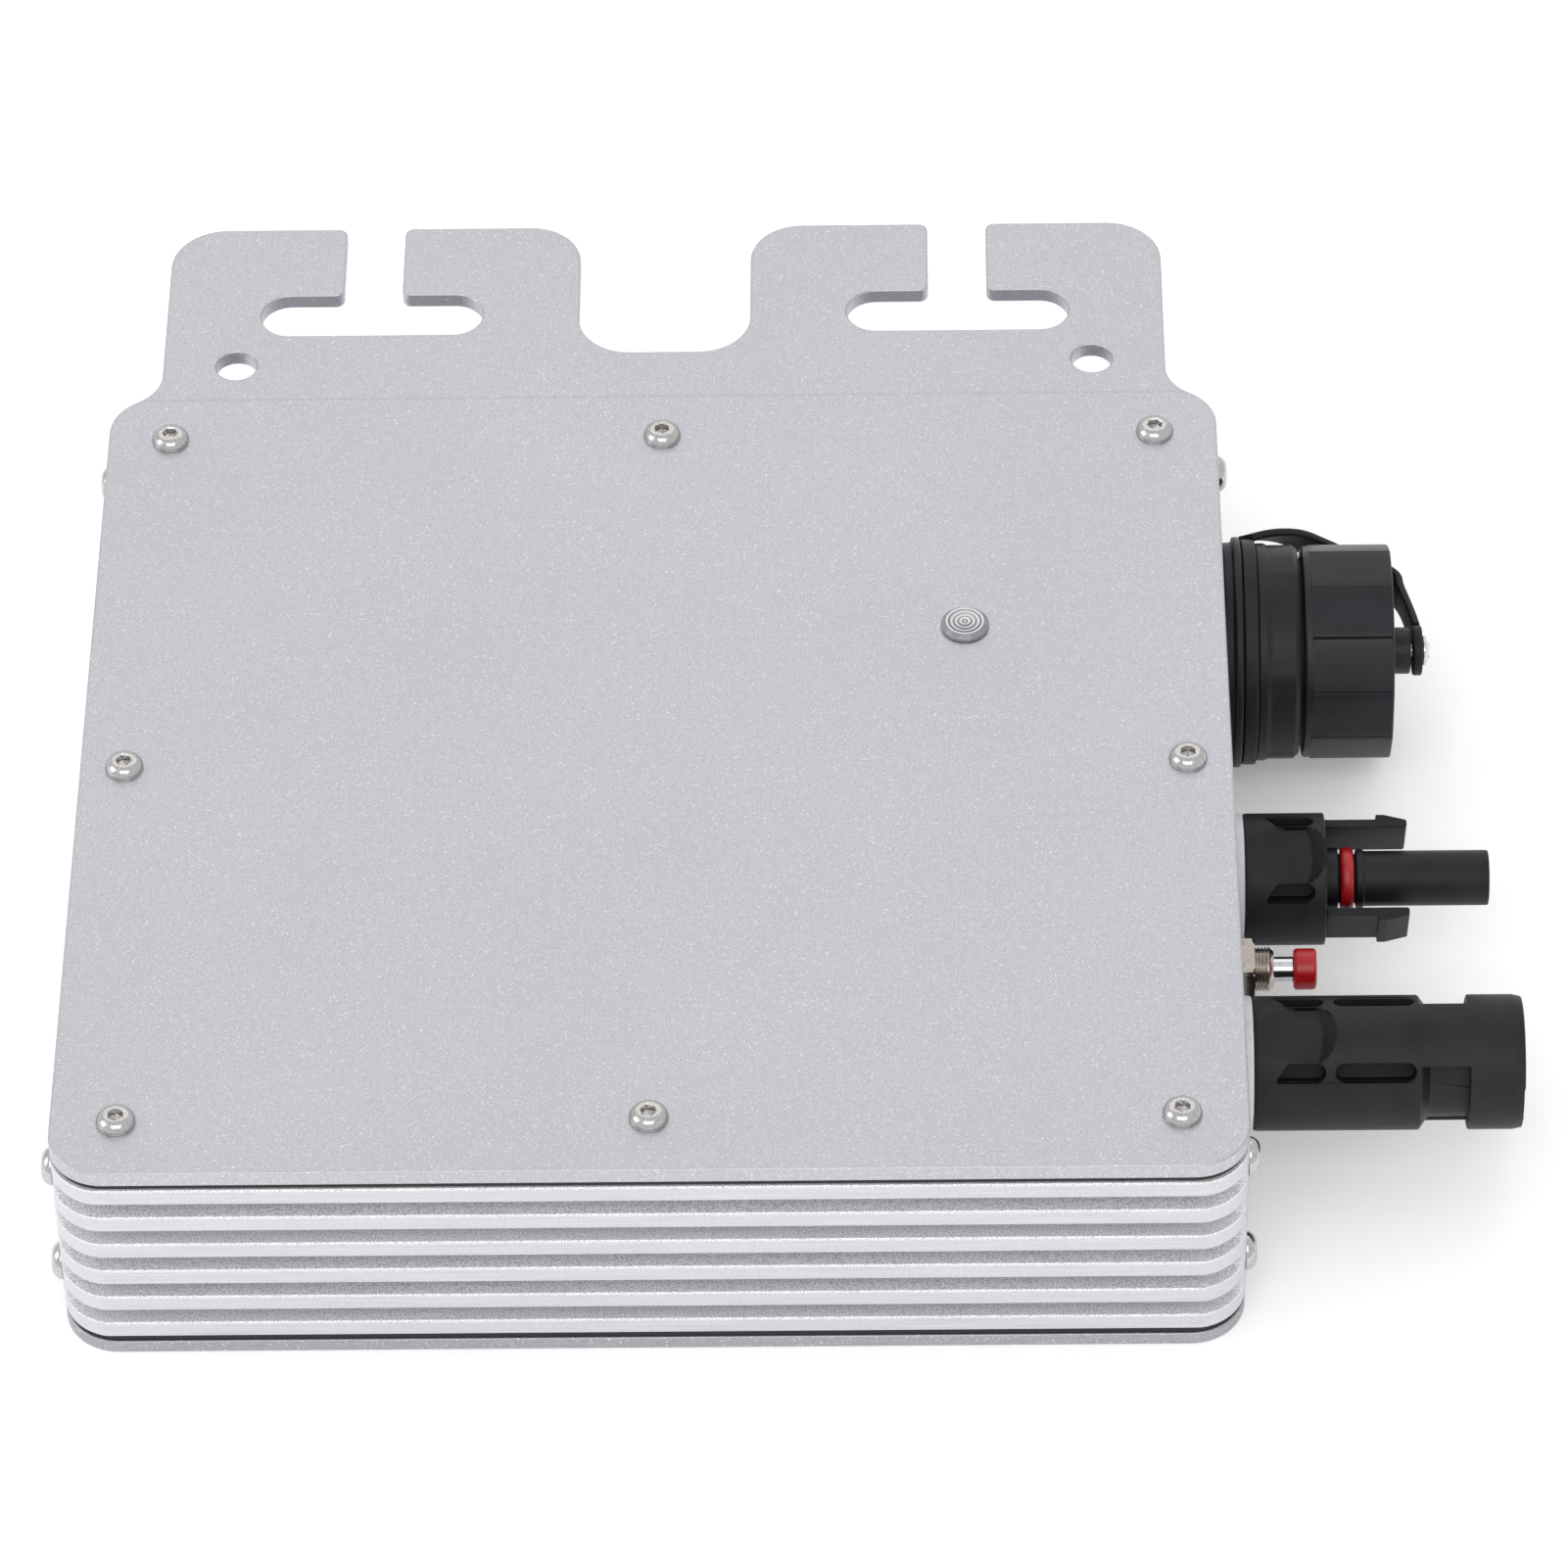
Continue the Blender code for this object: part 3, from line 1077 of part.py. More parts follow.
def ring_block(outer, inner, low, high):
    """A rectangular frame: outer and inner are (half width, half depth)."""
    mesh = bmesh.new()
    rings = []
    for (x, y), z in ((outer, low), (outer, high), (inner, high), (inner, low)):
        corners = ((-x, -y, z), (x, -y, z), (x, y, z), (-x, y, z))
        rings.append([mesh.verts.new(corner) for corner in corners])
    for first, second in zip(rings, rings[1:] + rings[:1]):
        for k in range(4):
            n = (k + 1) % 4
            mesh.faces.new((first[k], first[n], second[n], second[k]))
    bmesh.ops.recalc_face_normals(mesh, faces=mesh.faces)
    return mesh


def make_electronics():
    """The power board on the rails' lower lips, with its largest components."""
    green = material("solder_mask", (0.02, 0.12, 0.05), 0.4)
    ferrite = material("ferrite", (0.05, 0.05, 0.055), 0.6)
    copper = material("copper_winding", (0.55, 0.22, 0.08), 0.35, 1.0)
    sleeve = material("capacitor_sleeve", (0.03, 0.04, 0.09), 0.4)
    film = material("film_capacitor_case", (0.55, 0.4, 0.08), 0.45)
    epoxy = material("transistor_epoxy", (0.03, 0.03, 0.03), 0.5)
    bottom = BODY_BOTTOM + RAIL_LIP_HEIGHT + GAP
    top = bottom + BOARD_THICKNESS
    seat = top + STANDOFF
    x = HALF_WIDTH - END_PLATE_THICKNESS - BOARD_END_CLEARANCE
    y = HALF_DEPTH - FIN_DEPTH - RAIL_WALL - GAP
    part("main_board", box((-x, -y, bottom), (x, y, top)), green, smooth=False)

    place = (CORE_X, CORE_Y, seat)
    low = (WINDING_HEIGHT - CORE_HEIGHT) / 2
    half_x, half_y, leg = CORE_WIDTH / 2, CORE_DEPTH / 2, CORE_LEG / 2
    block = box((-half_x, -half_y, low), (half_x, half_y, low + CORE_HEIGHT))
    core = part("transformer_core", block, ferrite, location=place, smooth=False)
    windows = []
    for side in (-1, 1):
        edges = sorted((side * leg, side * (half_x - CORE_SIDE)))
        windows.append(box((edges[0], -half_y + CORE_YOKE, low - OVERLAP),
                           (edges[1], half_y - CORE_YOKE, low + CORE_HEIGHT + OVERLAP)))
    tool(core, "core_windows", merged(*windows), location=place)
    reach = half_y - CORE_YOKE - GAP
    coil = ring_block((leg + WINDING_BUILD, WINDING_HEIGHT / 2),
                      (leg + GAP, CORE_HEIGHT / 2 + GAP), -reach, reach)
    part("transformer_winding", moved(coil, (0, 0, WINDING_HEIGHT / 2), (math.pi / 2, "X")),
         copper, location=place, smooth=False)

    can = None
    for number in (1, 2):
        shape = can or rod(0, CAPACITOR_HEIGHT, CAPACITOR_RADIUS, 24)
        spot = (CAPACITOR_X + (number - 1) * CAPACITOR_SPACING, CAPACITOR_Y, seat)
        can = part(f"input_capacitor_{number}", shape, sleeve, location=spot,
                   rotation=UPRIGHT).data
    half = [size / 2 for size in FILM_SIZE]
    part("film_capacitor", box((-half[0], -half[1], 0), (half[0], half[1], FILM_SIZE[2])), film,
         location=(FILM_X, FILM_Y, seat), smooth=False)

    section = []
    for k in range(6):
        angle = TURN * (k + 0.5) / 6
        section.append((CHOKE_SECTION_RADIUS * math.sin(angle),
                        CHOKE_RADIUS + CHOKE_SECTION_RADIUS * math.cos(angle)))
    part("output_choke", turned(section, 18), copper,
         location=(CHOKE_X, CHOKE_Y, seat + CHOKE_SECTION_RADIUS), rotation=UPRIGHT)

    wide, thick, tall = TRANSISTOR_SIZE
    bar_wide, bar_thick, bar_tall = CLAMP_BAR_SIZE
    tall = min(tall, BODY_TOP - RAIL_LIP_HEIGHT - GAP - seat)
    middle = tall / 2
    bar = box((-bar_wide / 2, thick - OVERLAP, middle - bar_tall / 2),
              (bar_wide / 2, thick + bar_thick, middle + bar_tall / 2))
    row = part("power_transistors", bar, epoxy, location=(0, -y, seat), smooth=False)
    packages = []
    for k in range(TRANSISTOR_COUNT):
        centre = (k - (TRANSISTOR_COUNT - 1) / 2) * TRANSISTOR_PITCH
        packages.append(box((centre - wide / 2, 0, 0), (centre + wide / 2, thick, tall)))
    tool(row, "transistor_packages", merged(*packages), "UNION", location=(0, -y, seat))


# --- Assembly ---------------------------------------------------------------------------------

for leftover in list(bpy.data.objects):
    bpy.data.objects.remove(leftover)

make_covers()
make_rails()
make_end_plates()
make_lens()
make_screws()
ac_panel = axis("ac_axis", (HALF_WIDTH, AC_Y, MIDDLE_Z))
ac_neck_end = make_ac_receptacle(ac_panel)
ac_cap_end = make_cap(ac_panel, ac_neck_end)
make_tether(ac_panel, ac_cap_end)
make_dc_plug()
make_dc_socket()
make_button()
make_electronics()
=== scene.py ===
"""Looks of a grid-tie micro inverter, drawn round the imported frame.

Every piece that shows gets its real surface here.
"""

import math
import bmesh
import bpy
from mathutils import Matrix, Vector


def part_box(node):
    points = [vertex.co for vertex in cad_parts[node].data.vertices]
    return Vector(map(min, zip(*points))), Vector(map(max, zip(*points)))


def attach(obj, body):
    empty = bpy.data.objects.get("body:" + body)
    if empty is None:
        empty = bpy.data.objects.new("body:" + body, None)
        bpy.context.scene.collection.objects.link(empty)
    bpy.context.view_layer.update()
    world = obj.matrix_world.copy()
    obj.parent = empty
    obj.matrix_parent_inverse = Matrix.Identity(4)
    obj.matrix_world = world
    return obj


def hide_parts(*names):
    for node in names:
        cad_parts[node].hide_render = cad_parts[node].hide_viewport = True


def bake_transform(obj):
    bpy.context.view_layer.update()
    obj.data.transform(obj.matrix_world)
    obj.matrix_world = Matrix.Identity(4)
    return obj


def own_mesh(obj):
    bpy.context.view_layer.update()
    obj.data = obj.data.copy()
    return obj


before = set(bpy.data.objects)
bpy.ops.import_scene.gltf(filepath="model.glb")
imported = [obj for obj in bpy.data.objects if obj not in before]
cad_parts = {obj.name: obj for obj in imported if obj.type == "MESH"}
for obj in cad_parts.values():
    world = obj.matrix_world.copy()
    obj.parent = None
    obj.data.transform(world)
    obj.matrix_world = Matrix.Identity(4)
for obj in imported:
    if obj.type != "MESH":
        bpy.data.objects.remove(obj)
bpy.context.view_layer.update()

# --- Top cover ----------------------------------------------------------------------------------
# A 2.4 mm aluminium plate, cut with its hanging flange in one piece. It is bead blasted and
# clear anodised, with a fine even grain and painted glints. Eight button-head screws hold it down.

MM = 0.001
TURN = 2 * math.pi
ARC_STEP = math.radians(6)
EDGE_BREAK = 0.35 * MM
SHARP_ANGLE = math.radians(42)
BLAST_GRAIN = 0.22 * MM  # the real grain is about 0.1 mm, too fine to show
CORNER_RADIUS = 8 * MM
FLANGE_WIDTH = 155.1 * MM
FLANGE_CORNER_RADIUS = 8.5 * MM
FLANGE_ROOT_RADIUS = 6.9 * MM
FLANGE_ROOT_ANGLE = math.radians(30)
SLOT_SPACING = 91.2 * MM
SLOT_LENGTH = 34.5 * MM
SLOT_WIDTH = 9.2 * MM
SLOT_SETBACK = 18.4 * MM
SLOT_ENTRY_WIDTH = 9.1 * MM
SLOT_ENTRY_RADIUS = 1.4 * MM
NOTCH_WIDTH = 26.6 * MM
NOTCH_DEPTH = 29.4 * MM
NOTCH_RADIUS = 8 * MM
FLANGE_HOLE_SPACING = 132.4 * MM
FLANGE_HOLE_SETBACK = 6.9 * MM
FLANGE_HOLE_RADIUS = 3.15 * MM
SCREW_HOLE_RADIUS = 1.8 * MM
# The fold at the flange root, where a thin painted shade line darkens the flat cover.
FOLD_SETBACK = 1.0 * MM
FOLD_SHADE_WIDTH = 0.4 * MM
COVER_DROP = 0.25 * MM

cover_low, cover_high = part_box("top_cover")
HALF_WIDTH = cover_high.x
HALF_DEPTH = -cover_low.y
FLANGE_EDGE = cover_high.y


def linear(colour):
    """An sRGB hex colour as the linear values that a shader takes."""
    channels = [int(colour[i:i + 2], 16) / 255 for i in (1, 3, 5)]
    return [c / 12.92 if c <= 0.04045 else ((c + 0.055) / 1.055) ** 2.4 for c in channels] + [1]


def add(tree, kind, links=(), **settings):
    """Add a node; links maps its sockets to values or to other nodes' outputs."""
    made = tree.nodes.new(kind)
    for name, value in settings.items():
        setattr(made, name, value)
    for socket, value in dict(links).items():
        if isinstance(value, bpy.types.NodeSocket):
            tree.links.new(value, made.inputs[socket])
        else:
            made.inputs[socket].default_value = value
    return made


def surface(name, **values):
    """A material whose Principled surface holds the given values; also its tree and shader."""
    look = bpy.data.materials.new(name)
    look.use_nodes = True
    shader = look.node_tree.nodes["Principled BSDF"]
    for socket, value in values.items():
        shader.inputs[socket.replace("_", " ")].default_value = value
    return look, look.node_tree, shader


def connect(tree, shader, **outputs):
    """Drive the surface's sockets from other nodes."""
    for socket, output in outputs.items():
        tree.links.new(output, shader.inputs[socket.replace("_", " ")])


def blasted_aluminium(name, dark, light, fold_shade_y=None):
    """Bead-blasted, clear anodised aluminium: soft grey grain with painted glints, as if frosted.
    """
    look, tree, shader = surface(name, Metallic=1.0)
    place = add(tree, "ShaderNodeTexCoord").outputs["Object"]
    grain = add(tree, "ShaderNodeTexNoise", {"Vector": place, "Scale": 1 / BLAST_GRAIN,
                                             "Detail": 2.0, "Roughness": 0.6}).outputs["Fac"]
    # Painted glints: a few grain cells are mixed toward near-white, standing in for light sparkling
    # on the grain.
    glint_cells = add(tree, "ShaderNodeTexVoronoi", {"Vector": place, "Scale": 1 / BLAST_GRAIN})
    painted_glint = add(tree, "ShaderNodeMapRange", {"Value": glint_cells.outputs["Color"], "From Min": 0.8,
                                             "From Max": 0.97}).outputs["Result"]
    cloud = add(tree, "ShaderNodeTexNoise", {"Vector": place, "Scale": 25.0,
                                             "Detail": 3.0}).outputs["Fac"]
    spread = add(tree, "ShaderNodeMapRange", {"Value": grain, "From Min": 0.34, "From Max": 0.66})
    tone = add(tree, "ShaderNodeMix", {0: spread.outputs["Result"], 6: linear(dark),
                                       7: linear(light)}, data_type="RGBA").outputs[2]
    tone = add(tree, "ShaderNodeMix", {0: painted_glint, 6: tone, 7: linear("#E9E9ED")},
               data_type="RGBA").outputs[2]
    shade = add(tree, "ShaderNodeMapRange", {"Value": cloud, "To Min": 0.96,
                                             "To Max": 1.03}).outputs["Result"]
    tone = add(tree, "ShaderNodeVectorMath", {0: tone, "Scale": shade},
               operation="SCALE").outputs[0]
    # Painted shade: a thin darker line along the fold at the flange root, though the plate itself
    # is flat.
    if fold_shade_y is not None:
        across = add(tree, "ShaderNodeSeparateXYZ", {0: place}).outputs["Y"]
        away = add(tree, "ShaderNodeMath", {0: across, 1: fold_shade_y}, operation="SUBTRACT")
        away = add(tree, "ShaderNodeMath", {0: away.outputs[0]}, operation="ABSOLUTE").outputs[0]
        line = add(tree, "ShaderNodeMapRange", {"Value": away, "From Max": FOLD_SHADE_WIDTH,
                                                "To Min": 0.9, "To Max": 1.0})
        tone = add(tree, "ShaderNodeVectorMath", {0: tone, "Scale": line.outputs["Result"]},
                   operation="SCALE").outputs[0]
    rough = add(tree, "ShaderNodeMapRange", {"Value": grain, "To Min": 0.38, "To Max": 0.52})
    bump = add(tree, "ShaderNodeBump", {"Height": grain, "Strength": 0.25, "Distance": 0.02 * MM})
    connect(tree, shader, Base_Color=tone, Roughness=rough.outputs["Result"],
            Normal=bump.outputs["Normal"])
    return look


def rounded(corners, step=ARC_STEP):
    """Outline points from (x, y, radius) corners, with an arc in place of each corner."""
    points = []
    for i, (x, y, radius) in enumerate(corners):
        corner = Vector((x, y))
        before = (Vector(corners[i - 1][:2]) - corner).normalized()
        after = (Vector(corners[(i + 1) % len(corners)][:2]) - corner).normalized()
        half = before.angle(after) / 2
        if radius == 0:
            points.append(corner)
            continue
        centre = corner + (before + after).normalized() * (radius / math.sin(half))
        start = corner + before * (radius / math.tan(half)) - centre
        sweep = math.pi - 2 * half
        if before.cross(after) > 0:
            sweep = -sweep
        steps = max(2, math.ceil(abs(sweep) / step - 0.001))
        for k in range(steps + 1):
            points.append(centre + Matrix.Rotation(sweep * k / steps, 2) @ start)
    return points


def circle(x, y, radius, count=40):
    """A round outline, counter-clockwise."""
    angles = [TURN * k / count for k in range(count)]
    return [Vector((x + radius * math.cos(a), y + radius * math.sin(a))) for a in angles]


def inset(loop, distance):
    """A counter-clockwise outline moved inward."""
    moved = []
    for i, here in enumerate(loop):
        before = (here - loop[i - 1]).normalized()
        after = (loop[(i + 1) % len(loop)] - here).normalized()
        left = Vector((-before.y, before.x))
        middle = (left + Vector((-after.y, after.x))).normalized()
        moved.append(here + middle * (distance / max(middle.dot(left), 0.5)))
    return moved


def bridge(mesh, rings, closed=True):
    """Join rings of vertices, each to the next, with quads."""
    for first, second in zip(rings, rings[1:]):
        count = len(first)
        for k in range(count if closed else count - 1):
            n = (k + 1) % count
            mesh.faces.new((first[k], first[n], second[n], second[k]))


def skinned(mesh, rings):
    """Join the rings, close both ends and turn the faces outward."""
    bridge(mesh, rings)
    mesh.faces.new(list(reversed(rings[0])))
    mesh.faces.new(rings[-1])
    bmesh.ops.recalc_face_normals(mesh, faces=mesh.faces)
    return mesh


def plate(outline, holes, low, high, edge=EDGE_BREAK, steps=3):
    """A flat plate with round-edged outline and holes, as a closed mesh."""
    mesh = bmesh.new()
    turns = [math.pi / 2 * k / steps for k in range(steps + 1)]
    rows = [(edge * (1 - math.sin(t)), low + edge * (1 - math.cos(t))) for t in turns]
    rows += [(edge * (1 - math.cos(t)), high - edge * (1 - math.sin(t))) for t in turns]
    ends = ([], [])
    for loop, side in [(outline, 1)] + [(hole, -1) for hole in holes]:
        rings = []
        for shift, z in rows:
            rings.append([mesh.verts.new((p.x, p.y, z)) for p in inset(loop, side * shift)])
        bridge(mesh, rings)
        for rim, ring in ((ends[0], rings[0]), (ends[1], rings[-1])):
            rim += [mesh.edges.get((a, b)) for a, b in zip(ring, ring[1:] + ring[:1])]
    for rim in ends:
        bmesh.ops.triangle_fill(mesh, use_beauty=True, use_dissolve=False, edges=rim)
    bmesh.ops.recalc_face_normals(mesh, faces=mesh.faces)
    return mesh


def piece(name, mesh, look, body, nodes=(), bevel=0.0, angle=35, at=None):
    """Put a mesh in the scene as one piece that rides on a body and stands for CAD nodes."""
    if isinstance(mesh, bmesh.types.BMesh):
        data = bpy.data.meshes.new(name)
        mesh.to_mesh(data)
        mesh.free()
        data.shade_smooth()
        data.set_sharp_from_angle(angle=SHARP_ANGLE)
        data.materials.append(look)
    else:
        data = mesh
    item = bpy.data.objects.new(name, data)
    bpy.context.scene.collection.objects.link(item)
    if at is not None:
        item.matrix_world = at
    if bevel:
        edge = item.modifiers.new("edge", "BEVEL")
        edge.width = bevel
        edge.segments = 2
        edge.limit_method = "ANGLE"
        edge.angle_limit = math.radians(angle)
        edge.use_clamp_overlap = False
        edge.harden_normals = True
    else:
        item.modifiers.new("flat_faces", "WEIGHTED_NORMAL").keep_sharp = True
    if body:
        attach(item, body)
    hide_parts(*nodes)
    return item


def slot_corners(centre):
    """A T-shaped hanging slot cut in from the flange's edge, from right to left."""
    entry, end = SLOT_ENTRY_WIDTH / 2, SLOT_LENGTH / 2
    middle = HALF_DEPTH + SLOT_SETBACK
    far, near = middle + SLOT_WIDTH / 2, middle - SLOT_WIDTH / 2
    bend = SLOT_WIDTH / 2 - 0.01 * MM
    return [
        (centre + entry, FLANGE_EDGE, SLOT_ENTRY_RADIUS),
        (centre + entry, far, SLOT_ENTRY_RADIUS),
        (centre + end, far, bend),
        (centre + end, near, bend),
        (centre - end, near, bend),
        (centre - end, far, bend),
        (centre - entry, far, SLOT_ENTRY_RADIUS),
        (centre - entry, FLANGE_EDGE, SLOT_ENTRY_RADIUS),
    ]


def cover_outline():
    """The cover and its flange, whose roots run into the rear corners in an S."""
    flange, notch = FLANGE_WIDTH / 2, NOTCH_WIDTH / 2
    rise = CORNER_RADIUS * math.tan((math.pi / 2 - FLANGE_ROOT_ANGLE) / 2)
    shoulder = HALF_DEPTH - CORNER_RADIUS + rise
    root = shoulder + (HALF_WIDTH - flange) * math.tan(FLANGE_ROOT_ANGLE)
    right = [
        (HALF_WIDTH, -HALF_DEPTH, CORNER_RADIUS),
        (HALF_WIDTH, shoulder, CORNER_RADIUS),
        (flange, root, FLANGE_ROOT_RADIUS),
        (flange, FLANGE_EDGE, FLANGE_CORNER_RADIUS),
    ]
    left = [(-x, y, radius) for x, y, radius in reversed(right)]
    inner = FLANGE_EDGE - NOTCH_DEPTH
    middle = [(notch, FLANGE_EDGE, NOTCH_RADIUS), (notch, inner, NOTCH_RADIUS),
              (-notch, inner, NOTCH_RADIUS), (-notch, FLANGE_EDGE, NOTCH_RADIUS)]
    half = SLOT_SPACING / 2
    return rounded(right + slot_corners(half) + middle + slot_corners(-half) + left)


def centre_of(node):
    """The middle of a CAD node's box."""
    low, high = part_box(node)
    return (low + high) / 2


lens_centre = centre_of("status_lens")
screw_holes = [circle(*centre_of(f"cover_screw_{n}").xy, SCREW_HOLE_RADIUS) for n in range(1, 9)]
ears = [circle(side * FLANGE_HOLE_SPACING / 2, HALF_DEPTH + FLANGE_HOLE_SETBACK,
               FLANGE_HOLE_RADIUS) for side in (-1, 1)]
lens_hole = circle(*lens_centre.xy, 2.6 * MM)
cover_metal = blasted_aluminium("anodised_aluminium_bead_blasted", "#B6B6BC", "#CDCDD2",
                                fold_shade_y=HALF_DEPTH - FOLD_SETBACK)
piece("flanged_cover", plate(cover_outline(), screw_holes + ears + [lens_hole],
                             cover_low.z - COVER_DROP, cover_high.z),
      cover_metal, "housing", ["top_cover"])

# --- Base cover ---------------------------------------------------------------------------------
# A second blasted and anodised plate under the housing, countersunk for four screws so that it
# lies flat on a shelf or a wall.

COUNTERSINK_RADIUS = 3.15 * MM

base_low, base_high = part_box("bottom_cover")


def housing_plan(shrink=0.0):
    """The housing's rounded rectangle seen from above."""
    x, y, radius = HALF_WIDTH - shrink, HALF_DEPTH - shrink, CORNER_RADIUS - shrink
    return rounded([(-x, -y, radius), (x, -y, radius), (x, y, radius), (-x, y, radius)])


base_holes = [centre_of(f"base_screw_{n}").xy for n in range(1, 5)]
base_metal = blasted_aluminium("anodised_aluminium_base_plate", "#A0A0A4", "#BABABF")
base_mesh = plate(housing_plan(), [circle(x, y, SCREW_HOLE_RADIUS) for x, y in base_holes],
                  base_low.z, base_high.z)
sink = COUNTERSINK_RADIUS - SCREW_HOLE_RADIUS
for vert in base_mesh.verts:
    for x, y in base_holes:
        away = Vector((vert.co.x - x, vert.co.y - y))
        if away.length < COUNTERSINK_RADIUS and vert.co.z < base_low.z + sink / 2:
            wide = away.normalized() * (COUNTERSINK_RADIUS - (vert.co.z - base_low.z))
            vert.co.x, vert.co.y = x + wide.x, y + wide.y
piece("base_plate", base_mesh, base_metal, "housing", ["bottom_cover"])

# --- Gaskets ------------------------------------------------------------------------------------
# A flat black rubber gasket is pressed under each cover. Its cut edge shows as a dark line
# round the housing, a little set back, with the slight ripple of a die-cut sheet.

GASKET_SETBACK = 0.45 * MM
GASKET_WIDTH = 7 * MM
GASKET_CLEARANCE = 0.02 * MM
RUBBER_RIPPLE = 1.5 * MM

rubber, tree, shader = surface("die_cut_rubber", IOR=1.52)
place = add(tree, "ShaderNodeTexCoord").outputs["Object"]
ripple = add(tree, "ShaderNodeTexNoise", {"Vector": place, "Scale": 1 / RUBBER_RIPPLE,
                                          "Detail": 4.0}).outputs["Fac"]
tone = add(tree, "ShaderNodeMix", {0: ripple, 6: linear("#141416"), 7: linear("#303034")},
           data_type="RGBA").outputs[2]
rough = add(tree, "ShaderNodeMapRange", {"Value": ripple, "To Min": 0.6, "To Max": 0.85})
bump = add(tree, "ShaderNodeBump", {"Height": ripple, "Strength": 0.4, "Distance": 0.1 * MM})
connect(tree, shader, Base_Color=tone, Roughness=rough.outputs["Result"],
        Normal=bump.outputs["Normal"])

rail_low, rail_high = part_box("front_heatsink_rail")
for name, node, low, high in (
    ("upper_gasket", "top_gasket", rail_high.z, cover_low.z - COVER_DROP),
    ("lower_gasket", "bottom_gasket", base_high.z, rail_low.z),
):
    reach_x = HALF_WIDTH - GASKET_SETBACK - GASKET_WIDTH - 4 * MM
    reach_y = HALF_DEPTH - GASKET_SETBACK - GASKET_WIDTH - 4 * MM
    window = rounded([(-reach_x, -reach_y, 2 * MM), (reach_x, -reach_y, 2 * MM),
                      (reach_x, reach_y, 2 * MM), (-reach_x, reach_y, 2 * MM)])
    points = [f"cover_screw_{n}" for n in range(1, 9)]
    if name == "lower_gasket":
        points = [f"base_screw_{n}" for n in range(1, 5)]
    holes = [circle(*centre_of(n).xy, SCREW_HOLE_RADIUS, 24) for n in points]
    mesh = plate(housing_plan(GASKET_SETBACK), [window] + holes, low + GASKET_CLEARANCE,
                 high - GASKET_CLEARANCE, 0.1 * MM, 2)
    piece(name, mesh, rubber, "housing", [node])

# --- Heatsink rails -----------------------------------------------------------------------------
# Two lengths of one finned aluminium extrusion. Their ends are milled round the housing's corners
# and rebated for the end plates, then blasted and anodised. The die leaves faint lines.

FIN_COUNT = 6
FIN_THICKNESS = 2.95 * MM
FIN_GROOVE = 2.64 * MM
FIN_DEPTH = 5 * MM
FIN_EDGE = 0.3 * MM
GROOVE_EDGE = 0.25 * MM
RAIL_WALL = 3.5 * MM
RAIL_LIP_DEPTH = 6 * MM
RAIL_LIP_HEIGHT = 8.8 * MM
REBATE_WALL = 1.55 * MM
REBATE_DEPTH = 3.3 * MM
DIE_LINE = 0.35 * MM
# Width of the painted highlight along each fin's upper edge.
EDGE_HIGHLIGHT_BAND = 0.5 * MM
DRAWN_BACK_SLOPE = 0.01  # keeps points apart where the corner passes them

fin_metal, tree, shader = surface("anodised_aluminium_extruded", Metallic=0.5)
place = add(tree, "ShaderNodeTexCoord").outputs["Object"]
along = add(tree, "ShaderNodeMapping", {"Vector": place, "Scale": (0.02, 1, 1)}).outputs["Vector"]
lines = add(tree, "ShaderNodeTexNoise", {"Vector": along, "Scale": 1 / DIE_LINE,
                                         "Detail": 3.0}).outputs["Fac"]
grain = add(tree, "ShaderNodeTexNoise", {"Vector": place, "Scale": 1 / BLAST_GRAIN,
                                         "Detail": 2.0}).outputs["Fac"]
both = add(tree, "ShaderNodeMix", {0: 0.5, 2: lines, 3: grain}).outputs[0]
spread = add(tree, "ShaderNodeMapRange", {"Value": both, "From Min": 0.35, "From Max": 0.65})
tone = add(tree, "ShaderNodeMix", {0: spread.outputs["Result"], 6: linear("#C8C8CE"),
                                   7: linear("#DCDCE1")}, data_type="RGBA").outputs[2]
# Painted highlight: the upper edge of every fin is mixed toward white, broken up by the grain, as
# if catching the light.
height = add(tree, "ShaderNodeSeparateXYZ", {0: place}).outputs["Z"]
height = add(tree, "ShaderNodeMath", {0: height, 1: rail_low.z}, operation="SUBTRACT").outputs[0]
height = add(tree, "ShaderNodeMath", {0: height, 1: FIN_THICKNESS + FIN_GROOVE},
             operation="MODULO").outputs[0]
rise = add(tree, "ShaderNodeMapRange", {"Value": height, "From Min": FIN_THICKNESS - EDGE_HIGHLIGHT_BAND,
                                        "From Max": FIN_THICKNESS - 0.1 * MM}).outputs["Result"]
fall = add(tree, "ShaderNodeMapRange", {"Value": height, "From Min": FIN_THICKNESS + 0.02 * MM,
                                        "From Max": FIN_THICKNESS + 0.1 * MM, "To Min": 1.0,
                                        "To Max": 0.0}).outputs["Result"]
highlight_sparkle = add(tree, "ShaderNodeMapRange", {"Value": grain, "From Min": 0.42,
                                           "From Max": 0.55}).outputs["Result"]
edge = add(tree, "ShaderNodeMath", {0: rise, 1: fall}, operation="MULTIPLY").outputs[0]
edge = add(tree, "ShaderNodeMath", {0: edge, 1: highlight_sparkle}, operation="MULTIPLY").outputs[0]
tone = add(tree, "ShaderNodeMix", {0: edge, 6: tone, 7: linear("#FFFFFF")},
           data_type="RGBA").outputs[2]
rough = add(tree, "ShaderNodeMapRange", {"Value": lines, "To Min": 0.38, "To Max": 0.55})
bump = add(tree, "ShaderNodeBump", {"Height": both, "Strength": 0.3, "Distance": 0.03 * MM})
connect(tree, shader, Base_Color=tone, Roughness=rough.outputs["Result"],
        Normal=bump.outputs["Normal"])


